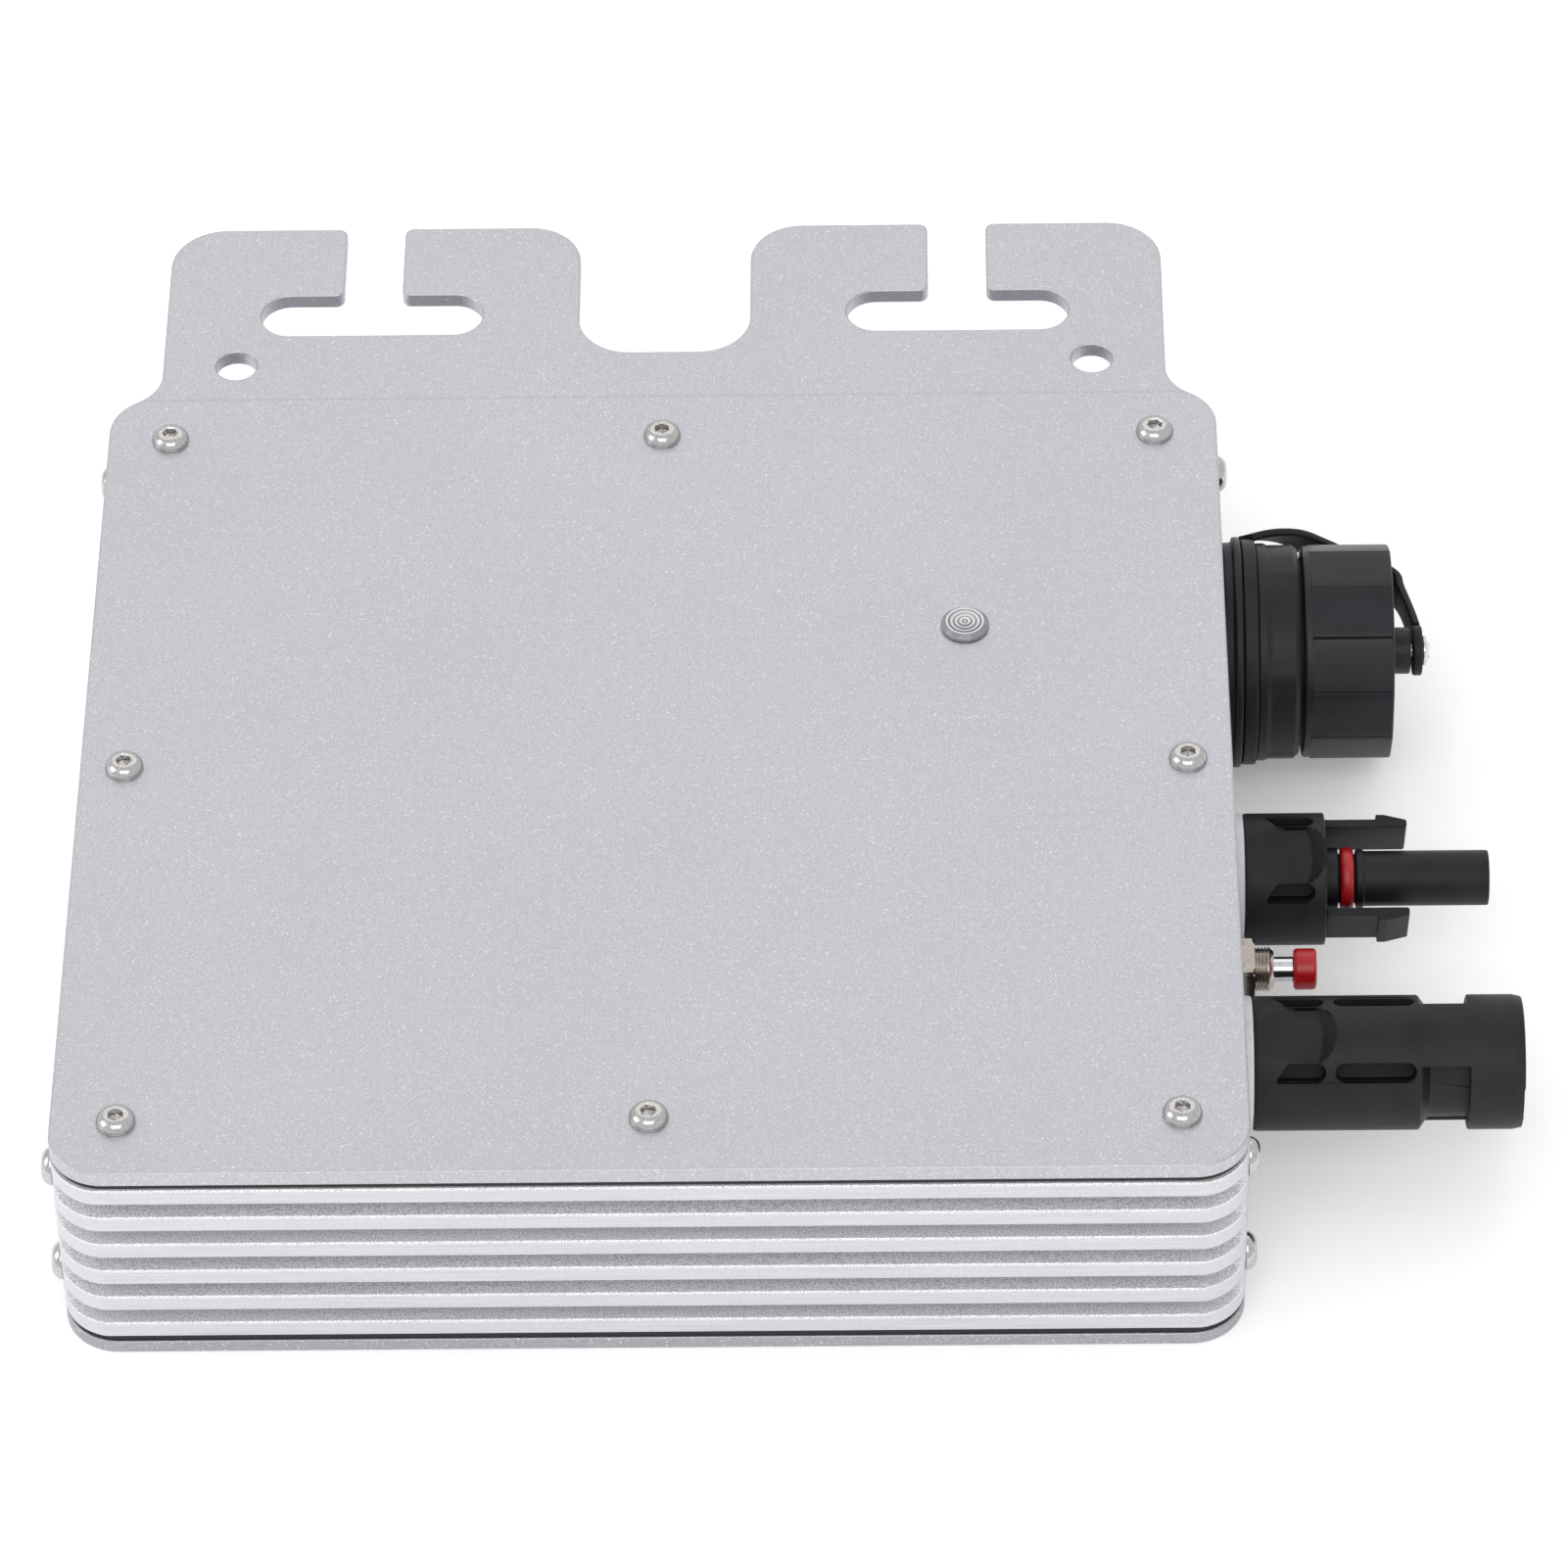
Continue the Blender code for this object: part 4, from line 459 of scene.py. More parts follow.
def rail_section():
    """The extrusion's section as (y, z): round-edged fins outward, two screw lips inward."""
    face, root = -HALF_DEPTH, -HALF_DEPTH + FIN_DEPTH
    inside = root + RAIL_WALL
    lip = inside + RAIL_LIP_DEPTH
    low, high = rail_low.z, rail_high.z
    corners = []
    for k in range(FIN_COUNT):
        bottom = low + k * (FIN_THICKNESS + FIN_GROOVE)
        if k:
            corners.append((root, bottom, GROOVE_EDGE))
        corners += [(face, bottom, FIN_EDGE), (face, bottom + FIN_THICKNESS, FIN_EDGE)]
        if k < FIN_COUNT - 1:
            corners.append((root, bottom + FIN_THICKNESS, GROOVE_EDGE))
    corners += [
        (lip, high, FIN_EDGE), (lip, high - RAIL_LIP_HEIGHT, FIN_EDGE),
        (inside, high - RAIL_LIP_HEIGHT, FIN_EDGE), (inside, low + RAIL_LIP_HEIGHT, FIN_EDGE),
        (lip, low + RAIL_LIP_HEIGHT, FIN_EDGE), (lip, low, FIN_EDGE),
    ]
    return rounded(corners, math.radians(30))


def rail_mesh():
    """Sweep the section along X, with the fins' faces drawn back right round both corners."""
    mesh = bmesh.new()
    section = rail_section()
    turns = [math.radians(90) * k / 16 for k in range(17)]
    stations = [(HALF_WIDTH - CORNER_RADIUS + CORNER_RADIUS * math.sin(angle),
                 CORNER_RADIUS * (1 - math.cos(angle))) for angle in turns]
    stations = [(-x, back) for x, back in reversed(stations)] + stations
    rings = []
    for x, back in stations:
        ring = []
        for point in section:
            nearest = back - HALF_DEPTH + DRAWN_BACK_SLOPE * (point.x + HALF_DEPTH)
            ring.append(mesh.verts.new((x, max(point.x, nearest), point.y)))
        rings.append(ring)
    return skinned(mesh, rings)


def spun(profile, segments=64, start=0.0, sweep=TURN):
    """Turn (x, radius) points about X into a closed ring or solid."""
    mesh = bmesh.new()
    rows = []
    for x, radius in profile:
        if radius < 1e-7:
            rows.append([mesh.verts.new((x, 0, 0))])
            continue
        ring = []
        for k in range(segments):
            angle = start + sweep * k / segments
            ring.append(mesh.verts.new((x, radius * math.sin(angle), radius * math.cos(angle))))
        rows.append(ring)
    if profile[0][1] > 1e-7:
        rows.append(rows[0])
    for first, second in zip(rows, rows[1:]):
        for k in range(segments):
            n = (k + 1) % segments
            corners = [first[k % len(first)], first[n % len(first)],
                       second[n % len(second)], second[k % len(second)]]
            mesh.faces.new(list(dict.fromkeys(corners)))
    bmesh.ops.recalc_face_normals(mesh, faces=mesh.faces)
    return mesh


def placed(mesh, place):
    """Move a mesh by a matrix."""
    bmesh.ops.transform(mesh, matrix=place, verts=mesh.verts)
    return mesh


def gathered(meshes):
    """Several separate meshes as one."""
    whole = bmesh.new()
    for mesh in meshes:
        data = bpy.data.meshes.new("part")
        mesh.to_mesh(data)
        mesh.free()
        whole.from_mesh(data)
        bpy.data.meshes.remove(data)
    return whole


def carved(mesh, cutter, operation="DIFFERENCE"):
    """Cut one mesh with another and return the result."""
    pair = []
    for shape in (mesh, cutter):
        data = bpy.data.meshes.new("shape")
        shape.to_mesh(data)
        shape.free()
        item = bpy.data.objects.new("shape", data)
        bpy.context.scene.collection.objects.link(item)
        pair.append(item)
    step = pair[0].modifiers.new("cut", "BOOLEAN")
    step.object = pair[1]
    step.operation = operation
    step.solver = "EXACT"
    bpy.context.view_layer.update()
    result = bmesh.new()
    result.from_object(pair[0], bpy.context.evaluated_depsgraph_get())
    for item in pair:
        data = item.data
        bpy.data.objects.remove(item)
        bpy.data.meshes.remove(data)
    return result


def drill(start, end, radius, axis="X", at=(0, 0, 0)):
    """A round cutter along an axis, from one distance to another."""
    turns = {"X": Matrix(), "Z": Matrix.Rotation(-math.pi / 2, 4, "Y")}
    profile = [(start, 0), (start, radius), (end, radius), (end, 0)]
    return placed(spun(profile, 24), Matrix.Translation(at) @ turns[axis])


def block(low, high):
    """A plain box, for joining to or cutting from another shape."""
    mesh = bmesh.new()
    bmesh.ops.create_cube(mesh, size=1)
    middle, size = (Vector(low) + Vector(high)) / 2, Vector(high) - Vector(low)
    return placed(mesh, Matrix.Translation(middle) @ Matrix.Diagonal((*size, 1)))


SCREW_DEPTH = 8 * MM
for name, node, side in (("front_fins", "front_heatsink_rail", -1),
                         ("rear_fins", "rear_heatsink_rail", 1)):
    mesh = rail_mesh()
    shoulder = -HALF_DEPTH + FIN_DEPTH + REBATE_WALL
    rebates = [block((start, shoulder, rail_low.z - MM), (stop, 0, rail_high.z + MM))
               for start, stop in ((-HALF_WIDTH - MM, -HALF_WIDTH + REBATE_DEPTH),
                                   (HALF_WIDTH - REBATE_DEPTH, HALF_WIDTH + MM))]
    mesh = carved(mesh, gathered(rebates))
    if side > 0:
        placed(mesh, Matrix.Rotation(math.pi, 4, "Z"))
    cutters = []
    for screws, low, high in (("cover_screw", rail_high.z - SCREW_DEPTH, rail_high.z + MM),
                              ("base_screw", rail_low.z - MM, rail_low.z + SCREW_DEPTH / 2)):
        for n in range(1, 9 if screws == "cover_screw" else 5):
            spot = centre_of(f"{screws}_{n}")
            if spot.y * side > HALF_DEPTH / 2:
                cutters.append(drill(low, high, SCREW_HOLE_RADIUS, "Z", (spot.x, spot.y, 0)))
    for n in range(1, 9):
        spot = centre_of(f"end_screw_{n}")
        if spot.y * side > HALF_DEPTH / 2:
            reach = sorted((math.copysign(rail_high.x - SCREW_DEPTH, spot.x),
                            math.copysign(rail_high.x + MM, spot.x)))
            cutters.append(drill(*reach, SCREW_HOLE_RADIUS, "X", (0, spot.y, spot.z)))
    piece(name, carved(mesh, gathered(cutters)), fin_metal, "housing", [node])

# --- End plates ---------------------------------------------------------------------------------
# Two 3 mm aluminium plates are let into the ends of the rails, so that only the rails show from
# the front. The right one is drilled for the connectors and the button.

END_THICKNESS = 3 * MM
PLATE_GAP = 0.3 * MM
UPRIGHT_EDGE = 0.5 * MM
LUG_DEPTH = 7.8 * MM
LUG_WIDTH = 8 * MM
LUG_HEIGHT = 3.4 * MM
PANEL_HOLE_CLEARANCE = 0.3 * MM
AC_STEM_RADIUS = 12 * MM
DC_STEM_RADIUS = 6 * MM
BUTTON_THREAD_RADIUS = 3.3 * MM

end_metal = blasted_aluminium("anodised_aluminium_end_plate", "#BDBDC3", "#D4D4DA")
panel_middle = Vector((0, 0, (rail_low.z + rail_high.z) / 2))


def end_plate_outline():
    """Seen from above: a flat plate let in between the rails, its upright edges broken."""
    inner, side = HALF_WIDTH - END_THICKNESS, HALF_DEPTH - FIN_DEPTH - REBATE_WALL - PLATE_GAP
    return [Vector(p) for p in (
        (inner, -side), (HALF_WIDTH - UPRIGHT_EDGE, -side), (HALF_WIDTH, -side + UPRIGHT_EDGE),
        (HALF_WIDTH, side - UPRIGHT_EDGE), (HALF_WIDTH - UPRIGHT_EDGE, side), (inner, side))]


for name, node, side in (("connector_panel", "right_end_plate", 1),
                         ("blank_panel", "left_end_plate", -1)):
    mesh = plate(end_plate_outline(), [], rail_low.z, rail_high.z, 0.25 * MM, 2)
    inner = HALF_WIDTH - END_THICKNESS
    lug = block((inner - LUG_DEPTH, -LUG_WIDTH / 2, rail_high.z - LUG_HEIGHT),
                (inner + MM, LUG_WIDTH / 2, rail_high.z - 0.05 * MM))
    mesh = carved(mesh, lug, "UNION")
    holes = [(y, z, SCREW_HOLE_RADIUS) for y, z in
             {tuple(round(v, 6) for v in centre_of(f"end_screw_{n}").yz) for n in range(1, 9)}]
    if side > 0:
        for fitting, radius in (("ac_locknut", AC_STEM_RADIUS), ("dc_plug_nut", DC_STEM_RADIUS),
                                ("dc_socket_nut", DC_STEM_RADIUS),
                                ("button_bushing", BUTTON_THREAD_RADIUS)):
            spot = centre_of(fitting)
            holes.append((spot.y, spot.z, radius + PANEL_HOLE_CLEARANCE))
    cutters = [drill(inner - MM, HALF_WIDTH + MM, radius, "X", (0, y, z))
               for y, z, radius in sorted(holes)]
    lug_x = abs(centre_of("cover_screw_8").x)
    cutters.append(drill(rail_high.z - SCREW_DEPTH, rail_high.z + MM, SCREW_HOLE_RADIUS, "Z",
                         (lug_x, 0, 0)))
    mesh = carved(mesh, gathered(cutters))
    if side < 0:
        placed(mesh, Matrix.Rotation(math.pi, 4, "Z"))
    piece(name, mesh, end_metal, "housing", [node])

# --- Screws -------------------------------------------------------------------------------------
# M3 stainless screws, cold headed and tumbled bright. The cover and the ends have low domed heads
# with a 2 mm hexagon socket; the base has countersunk ones. Each is driven to its own angle.

SHANK_RADIUS = 1.5 * MM
SHANK_LENGTH = 6.3 * MM
HEAD_RADIUS = 2.85 * MM
HEAD_RIM = 0.3 * MM
HEAD_HEIGHT = 1.65 * MM
HEAD_FLAT_RADIUS = 1.4 * MM
SOCKET_HALF_WIDTH = 1.0 * MM
SOCKET_DEPTH = 1.1 * MM
TUMBLE_MARK = 0.4 * MM
SCREW_TURN = math.radians(37)


def bright_metal(name, dark, light, roughness, mark, depth, **values):
    """A bright hard metal with small handling marks, which break up its reflections."""
    look, tree, shader = surface(name, Metallic=1.0, **values)
    place = add(tree, "ShaderNodeTexCoord").outputs["Object"]
    marks = add(tree, "ShaderNodeTexNoise", {"Vector": place, "Scale": 1 / mark, "Detail": 4.0,
                                             "Roughness": 0.65}).outputs["Fac"]
    spread = add(tree, "ShaderNodeMapRange", {"Value": marks, "From Min": 0.3, "From Max": 0.7})
    tone = add(tree, "ShaderNodeMix", {0: spread.outputs["Result"], 6: linear(dark),
                                       7: linear(light)}, data_type="RGBA").outputs[2]
    rough = add(tree, "ShaderNodeMapRange", {"Value": marks, "To Min": roughness * 0.7,
                                             "To Max": roughness * 1.3})
    bump = add(tree, "ShaderNodeBump", {"Height": marks, "Strength": 0.1, "Distance": depth})
    connect(tree, shader, Base_Color=tone, Roughness=rough.outputs["Result"],
            Normal=bump.outputs["Normal"])
    return look


def screw(rows, segments=48):
    """A screw about Z from (z, radius) rows, with a hexagon socket sunk in its last face."""
    top = rows[-1][0]
    sunk = [(top, 1.12), (top - 0.12 * MM, 1.0), (top - SOCKET_DEPTH, 1.0)]
    mesh = bmesh.new()
    rings = []
    for z, radius in rows:
        rings.append([mesh.verts.new((*p, z)) for p in circle(0, 0, radius, segments)])
    for z, share in sunk:
        ring = []
        for k in range(segments):
            angle = TURN * k / segments
            lean = (angle + TURN / 12) % (TURN / 6) - TURN / 12
            reach = share * SOCKET_HALF_WIDTH / math.cos(lean)
            ring.append(mesh.verts.new((reach * math.cos(angle), reach * math.sin(angle), z)))
        rings.append(ring)
    bridge(mesh, rings)
    mesh.faces.new(list(reversed(rings[0])))
    drill_point = mesh.verts.new((0, 0, top - SOCKET_DEPTH - 0.35 * MM))
    for k in range(segments):
        mesh.faces.new((rings[-1][k], rings[-1][(k + 1) % segments], drill_point))
    bmesh.ops.recalc_face_normals(mesh, faces=mesh.faces)
    return mesh


steel = bright_metal("stainless_steel_tumbled", "#B4B2B1", "#CFCDCB", 0.17, TUMBLE_MARK,
                     0.01 * MM)
point = [(-SHANK_LENGTH, SHANK_RADIUS - 0.4 * MM), (-SHANK_LENGTH + 0.4 * MM, SHANK_RADIUS)]
dome = [(0.0, SHANK_RADIUS), (0.0, HEAD_RADIUS - 0.08 * MM), (0.08 * MM, HEAD_RADIUS),
        (HEAD_RIM, HEAD_RADIUS)]
for k in range(1, 9):
    share = k / 8
    dome.append((HEAD_RIM + (HEAD_HEIGHT - HEAD_RIM) * math.sin(share * math.pi / 2) ** 0.9,
                 HEAD_FLAT_RADIUS + (HEAD_RADIUS - HEAD_FLAT_RADIUS) * (1 - share ** 1.35)))
button_head = piece("cover_button_screw_1", screw(point + dome), steel, "housing",
                    ["cover_screw_1"],
                    at=Matrix.Translation((*centre_of("cover_screw_1").xy, cover_high.z)))
for n in range(2, 9):
    turned_to = Matrix.Rotation(SCREW_TURN * n, 4, "Z")
    at = Matrix.Translation((*centre_of(f"cover_screw_{n}").xy, cover_high.z)) @ turned_to
    piece(f"cover_button_screw_{n}", button_head.data, steel, "housing", [f"cover_screw_{n}"],
          at=at)
for n in range(1, 9):
    spot = centre_of(f"end_screw_{n}")
    side = math.copysign(1, spot.x)
    outward = Matrix.Rotation(side * math.pi / 2, 4, "Y")
    turned_to = outward @ Matrix.Rotation(SCREW_TURN * n, 4, "Z")
    at = Matrix.Translation((side * HALF_WIDTH, spot.y, spot.z)) @ turned_to
    piece(f"end_button_screw_{n}", button_head.data, steel, "housing", [f"end_screw_{n}"],
          at=at)
cone = [(-HEAD_RADIUS + SHANK_RADIUS - 0.1 * MM, SHANK_RADIUS), (-0.2 * MM, HEAD_RADIUS - 0.1 * MM),
        (-0.1 * MM, HEAD_RADIUS - 0.2 * MM)]
sunk_head = None
for n in range(1, 5):
    turned_to = Matrix.Rotation(math.pi, 4, "X") @ Matrix.Rotation(SCREW_TURN * n, 4, "Z")
    at = Matrix.Translation((*centre_of(f"base_screw_{n}").xy, base_low.z)) @ turned_to
    made = piece(f"base_sunk_screw_{n}", sunk_head or screw(point + cone), steel, "housing",
                 [f"base_screw_{n}"], at=at)
    sunk_head = made.data

# --- Status lens --------------------------------------------------------------------------------
# A clear polycarbonate light guide, pressed into the cover over an indicator. Its moulded rings
# spread the light, and its sloping rim looks grey against the metal.

LENS_RADIUS = 3.6 * MM
LENS_TOP_RADIUS = 2.8 * MM
LENS_STEM_RADIUS = 2.3 * MM
LENS_STEM_LENGTH = 2.2 * MM
LENS_RIM = 0.5 * MM
LENS_TOP = 1.1 * MM
LENS_RING_PITCH = 0.68 * MM
LENS_RING_HEIGHT = 0.16 * MM
LENS_RING_WIDTH = 0.2 * MM


def softened(profile, radius, steps=3):
    """Round the inner corners of an open (x, radius) profile."""
    points = [Vector(p) for p in profile]
    run = [points[0]]
    for before, here, after in zip(points, points[1:], points[2:]):
        back, onward = before - here, after - here
        half = back.angle(onward) / 2
        reach = min(radius / math.tan(half), 0.45 * min(back.length, onward.length))
        if math.degrees(half) > 84:
            run.append(here)
            continue
        first, last = here + back.normalized() * reach, here + onward.normalized() * reach
        for k in range(steps + 1):
            t = k / steps
            run.append(first * (1 - t) ** 2 + here * (2 * t * (1 - t)) + last * t**2)
    return run + [points[-1]]


clear, tree, shader = surface("polycarbonate_moulded_clear", IOR=1.58, Transmission_Weight=0.15)
place = add(tree, "ShaderNodeTexCoord").outputs["Object"]
haze = add(tree, "ShaderNodeTexNoise", {"Vector": place, "Scale": 1 / (0.5 * MM),
                                        "Detail": 3.0}).outputs["Fac"]
tone = add(tree, "ShaderNodeMix", {0: haze, 6: linear("#8A8A8E"), 7: linear("#9C9CA1")},
           data_type="RGBA").outputs[2]
# Painted highlights: the moulded rings on the top are drawn as white circles where they catch the
# light.
across = add(tree, "ShaderNodeVectorMath", {0: place, 1: (1, 1, 0)}, operation="MULTIPLY")
across = add(tree, "ShaderNodeVectorMath", {0: across.outputs[0], 1: (*lens_centre.xy, 0)},
             operation="DISTANCE").outputs["Value"]
ring_highlight = add(tree, "ShaderNodeMath", {0: across, 1: TURN / LENS_RING_PITCH},
           operation="MULTIPLY").outputs[0]
ring_highlight = add(tree, "ShaderNodeMath", {0: ring_highlight}, operation="COSINE").outputs[0]
ring_highlight = add(tree, "ShaderNodeMapRange", {"Value": ring_highlight, "From Min": -0.4,
                                        "From Max": 0.6}).outputs["Result"]
top = add(tree, "ShaderNodeMapRange", {"Value": across, "From Min": LENS_TOP_RADIUS + 0.02 * MM,
                                       "From Max": LENS_TOP_RADIUS + 0.08 * MM, "To Min": 1.0,
                                       "To Max": 0.0}).outputs["Result"]
ring_highlight = add(tree, "ShaderNodeMath", {0: ring_highlight, 1: top}, operation="MULTIPLY").outputs[0]
tone = add(tree, "ShaderNodeMix", {0: ring_highlight, 6: tone, 7: linear("#F2F2F4")},
           data_type="RGBA").outputs[2]
rough = add(tree, "ShaderNodeMapRange", {"Value": haze, "To Min": 0.03, "To Max": 0.14})
connect(tree, shader, Base_Color=tone, Roughness=rough.outputs["Result"])
rim = [(-LENS_STEM_LENGTH, 0), (-LENS_STEM_LENGTH, LENS_STEM_RADIUS), (0.03 * MM, LENS_STEM_RADIUS),
       (0.03 * MM, LENS_RADIUS), (LENS_RIM, LENS_RADIUS), (LENS_TOP, LENS_TOP_RADIUS)]
rings = []
for k in range(1, 4):
    middle = LENS_TOP_RADIUS + LENS_RING_WIDTH / 2 - k * LENS_RING_PITCH
    for shift, rise in ((1, 0), (0.4, 1), (-0.4, 1), (-1, 0)):
        rings.append((LENS_TOP - LENS_RING_HEIGHT + rise * LENS_RING_HEIGHT,
                      middle + shift * LENS_RING_WIDTH / 2))
top = [(LENS_TOP, LENS_TOP_RADIUS - 0.15 * MM), (LENS_TOP - LENS_RING_HEIGHT, 2.5 * MM)]
upright = (Matrix.Translation((*lens_centre.xy, cover_high.z))
           @ Matrix.Rotation(-math.pi / 2, 4, "Y"))
mesh = spun(softened(rim + top, 0.12 * MM) + rings + [(LENS_TOP - LENS_RING_HEIGHT, 0)], 64)
piece("light_guide", placed(mesh, upright), clear, "housing", ["status_lens"])

# --- AC receptacle ------------------------------------------------------------------------------
# A black glass-filled nylon receptacle, injection moulded in one piece: a flange with a sealing
# bead, a seat for the cap's strap, a barrel and a threaded neck. A nut holds it behind the plate.

AC_FLANGE_RADIUS = 16.7 * MM
AC_BEAD_RADIUS = 17.55 * MM
AC_BEAD_START = 1.6 * MM
AC_BEAD_END = 2.9 * MM
AC_SEAT_RADIUS = 15.9 * MM
AC_SEAT_END = 5.2 * MM
AC_BARREL_RADIUS = 16.55 * MM
AC_BARREL_END = 11.6 * MM
AC_BARREL_CHAMFER = 0.9 * MM
AC_BARREL_FLATS = 6
AC_FLAT_DEPTH = 0.28 * MM
AC_NECK_RADIUS = 14.2 * MM
AC_NECK_END = 21 * MM
AC_BORE_RADIUS = 11.5 * MM
AC_STEM_LENGTH = 8 * MM
AC_THREAD_PITCH = 2 * MM
AC_THREAD_DEPTH = 0.5 * MM
MOULD_GRAIN = 0.35 * MM  # spark-eroded mould texture, drawn two to three times coarser

ac_axis = Matrix.Translation((HALF_WIDTH, centre_of("ac_receptacle").y, panel_middle.z))


def moulded_plastic(name, dark, light, roughness, grain=MOULD_GRAIN, depth=0.02 * MM, **values):
    """Injection moulded plastic: an even satin grain with slight flow shading and dull patches."""
    look, tree, shader = surface(name, **values)
    place = add(tree, "ShaderNodeTexCoord").outputs["Object"]
    texture = add(tree, "ShaderNodeTexNoise", {"Vector": place, "Scale": 1 / grain,
                                               "Detail": 3.0}).outputs["Fac"]
    flow = add(tree, "ShaderNodeTexNoise", {"Vector": place, "Scale": 1 / (9 * MM), "Detail": 2.0,
                                            "Distortion": 0.6}).outputs["Fac"]
    both = add(tree, "ShaderNodeMix", {0: 0.35, 2: flow, 3: texture}).outputs[0]
    spread = add(tree, "ShaderNodeMapRange", {"Value": both, "From Min": 0.36, "From Max": 0.64})
    tone = add(tree, "ShaderNodeMix", {0: spread.outputs["Result"], 6: linear(dark),
                                       7: linear(light)}, data_type="RGBA").outputs[2]
    rough = add(tree, "ShaderNodeMapRange", {"Value": both, "To Min": roughness - 0.08,
                                             "To Max": roughness + 0.08})
    bump = add(tree, "ShaderNodeBump", {"Height": texture, "Strength": 0.3, "Distance": depth})
    connect(tree, shader, Base_Color=tone, Roughness=rough.outputs["Result"],
            Normal=bump.outputs["Normal"])
    return look


def wound(profile, shape, angles):
    """Turn (x, radius) points about X, with the radius at each angle given by a shape."""
    mesh = bmesh.new()
    rings = []
    for x, radius in profile:
        ring = []
        for angle in angles:
            r = shape(x, radius, angle)
            ring.append(mesh.verts.new((x, r * math.sin(angle), r * math.cos(angle))))
        rings.append(ring)
    return skinned(mesh, rings)


def flat_sided(radius, angle, sides, turned_by=0.0):
    """The distance to a polygon's side, for corners that lie on a circle."""
    share = TURN / sides
    lean = (angle - turned_by) % share - share / 2
    return radius * math.cos(share / 2) / math.cos(lean)


def thread_shape(start, end, pitch, depth):
    """A helical V thread between two places along X; elsewhere the radius stays as it is."""
    def shape(x, radius, angle):
        if not start <= x <= end:
            return radius
        phase = (x / pitch - angle / TURN) % 1
        fade = min(1, (x - start) / pitch * 2, (end - x) / pitch * 2)
        return radius - depth * fade * abs(2 * phase - 1)
    return shape


def stations(start, end, radius, step):
    """Evenly spaced (x, radius) points, for a stretch that a shape changes."""
    count = max(2, round((end - start) / step))
    return [(start + (end - start) * k / count, radius) for k in range(count + 1)]


def even(count):
    """Angles evenly round a turn."""
    return [TURN * k / count for k in range(count)]


def barrel_shape(x, radius, angle):
    """The barrel has six shallow wrench flats, which fade out before its collar."""
    run_in = AC_SEAT_END + 1.3 * MM
    if not run_in < x <= AC_BARREL_END:
        return neck_thread(x, radius, angle)
    fade = min(1, (x - run_in) / (0.3 * MM))
    flat = flat_sided(AC_BARREL_RADIUS + AC_FLAT_DEPTH, angle, AC_BARREL_FLATS, math.radians(-60))
    return min(radius, radius + (max(flat, AC_BARREL_RADIUS - AC_FLAT_DEPTH) - radius) * fade)


neck_thread = thread_shape(AC_BARREL_END + 0.3 * MM, AC_NECK_END - 0.3 * MM, AC_THREAD_PITCH,
                           AC_THREAD_DEPTH)
ac_plastic = moulded_plastic("glass_filled_nylon_moulded", "#0D0D12", "#18181E", 0.46,
                             Specular_IOR_Level=0.35)
outside = softened([
    (-AC_STEM_LENGTH, AC_BORE_RADIUS + 0.1 * MM), (-AC_STEM_LENGTH, AC_STEM_RADIUS),
    (0.02 * MM, AC_STEM_RADIUS), (0.02 * MM, AC_FLANGE_RADIUS),
    (AC_BEAD_START, AC_FLANGE_RADIUS), (AC_BEAD_START + 0.1 * MM, AC_BEAD_RADIUS),
    (AC_BEAD_END, AC_BEAD_RADIUS), (AC_BEAD_END, AC_SEAT_RADIUS),
    (AC_SEAT_END, AC_SEAT_RADIUS), (AC_SEAT_END, AC_BARREL_RADIUS),
    (AC_SEAT_END + 1.2 * MM, AC_BARREL_RADIUS),
], 0.45 * MM)
barrel = stations(AC_SEAT_END + 1.3 * MM, AC_BARREL_END - AC_BARREL_CHAMFER, AC_BARREL_RADIUS,
                  0.5 * MM)
shoulder = softened([
    (AC_BARREL_END - AC_BARREL_CHAMFER + 0.1 * MM, AC_BARREL_RADIUS),
    (AC_BARREL_END, AC_BARREL_RADIUS - AC_BARREL_CHAMFER), (AC_BARREL_END, AC_NECK_RADIUS),
    (AC_BARREL_END + 0.3 * MM, AC_NECK_RADIUS)], 0.3 * MM)
neck = stations(AC_BARREL_END + 0.35 * MM, AC_NECK_END - 0.3 * MM, AC_NECK_RADIUS,
                AC_THREAD_PITCH / 8)
mesh = wound(outside + barrel + shoulder + neck + [(AC_NECK_END, AC_NECK_RADIUS - 0.3 * MM)],
             barrel_shape, even(96))
bore = drill(-AC_STEM_LENGTH - MM, AC_NECK_END + MM, AC_BORE_RADIUS)
piece("ac_panel_receptacle", placed(carved(mesh, bore), ac_axis), ac_plastic, "housing",
      ["ac_receptacle"])

# --- AC cap -------------------------------------------------------------------------------------
# A twelve-sided screw cap that keeps the unused receptacle dry, moulded in the same black nylon.
# A fine groove runs along each corner, and a boss on its end takes the strap's screw.

CAP_SIDES = 12
CAP_TURNED = math.radians(21)
CAP_RADIUS = 16.4 * MM
CAP_START = 12.2 * MM
CAP_END = 25.6 * MM
CAP_RIM = 1.1 * MM
CAP_RIM_RADIUS = 16.1 * MM
CAP_GROOVE = 0.3 * MM
CAP_CROWN = 0.4
CAP_GROOVE_ANGLE = math.radians(1)
CAP_BORE_RADIUS = 14.6 * MM
CAP_FLOOR = 22.6 * MM
CAP_BOSS_RADIUS = 3.55 * MM
CAP_BOSS_END = 28.8 * MM
CAP_SCREW_RADIUS = 1.1 * MM
CAP_SCREW_TIP = 25.6 * MM


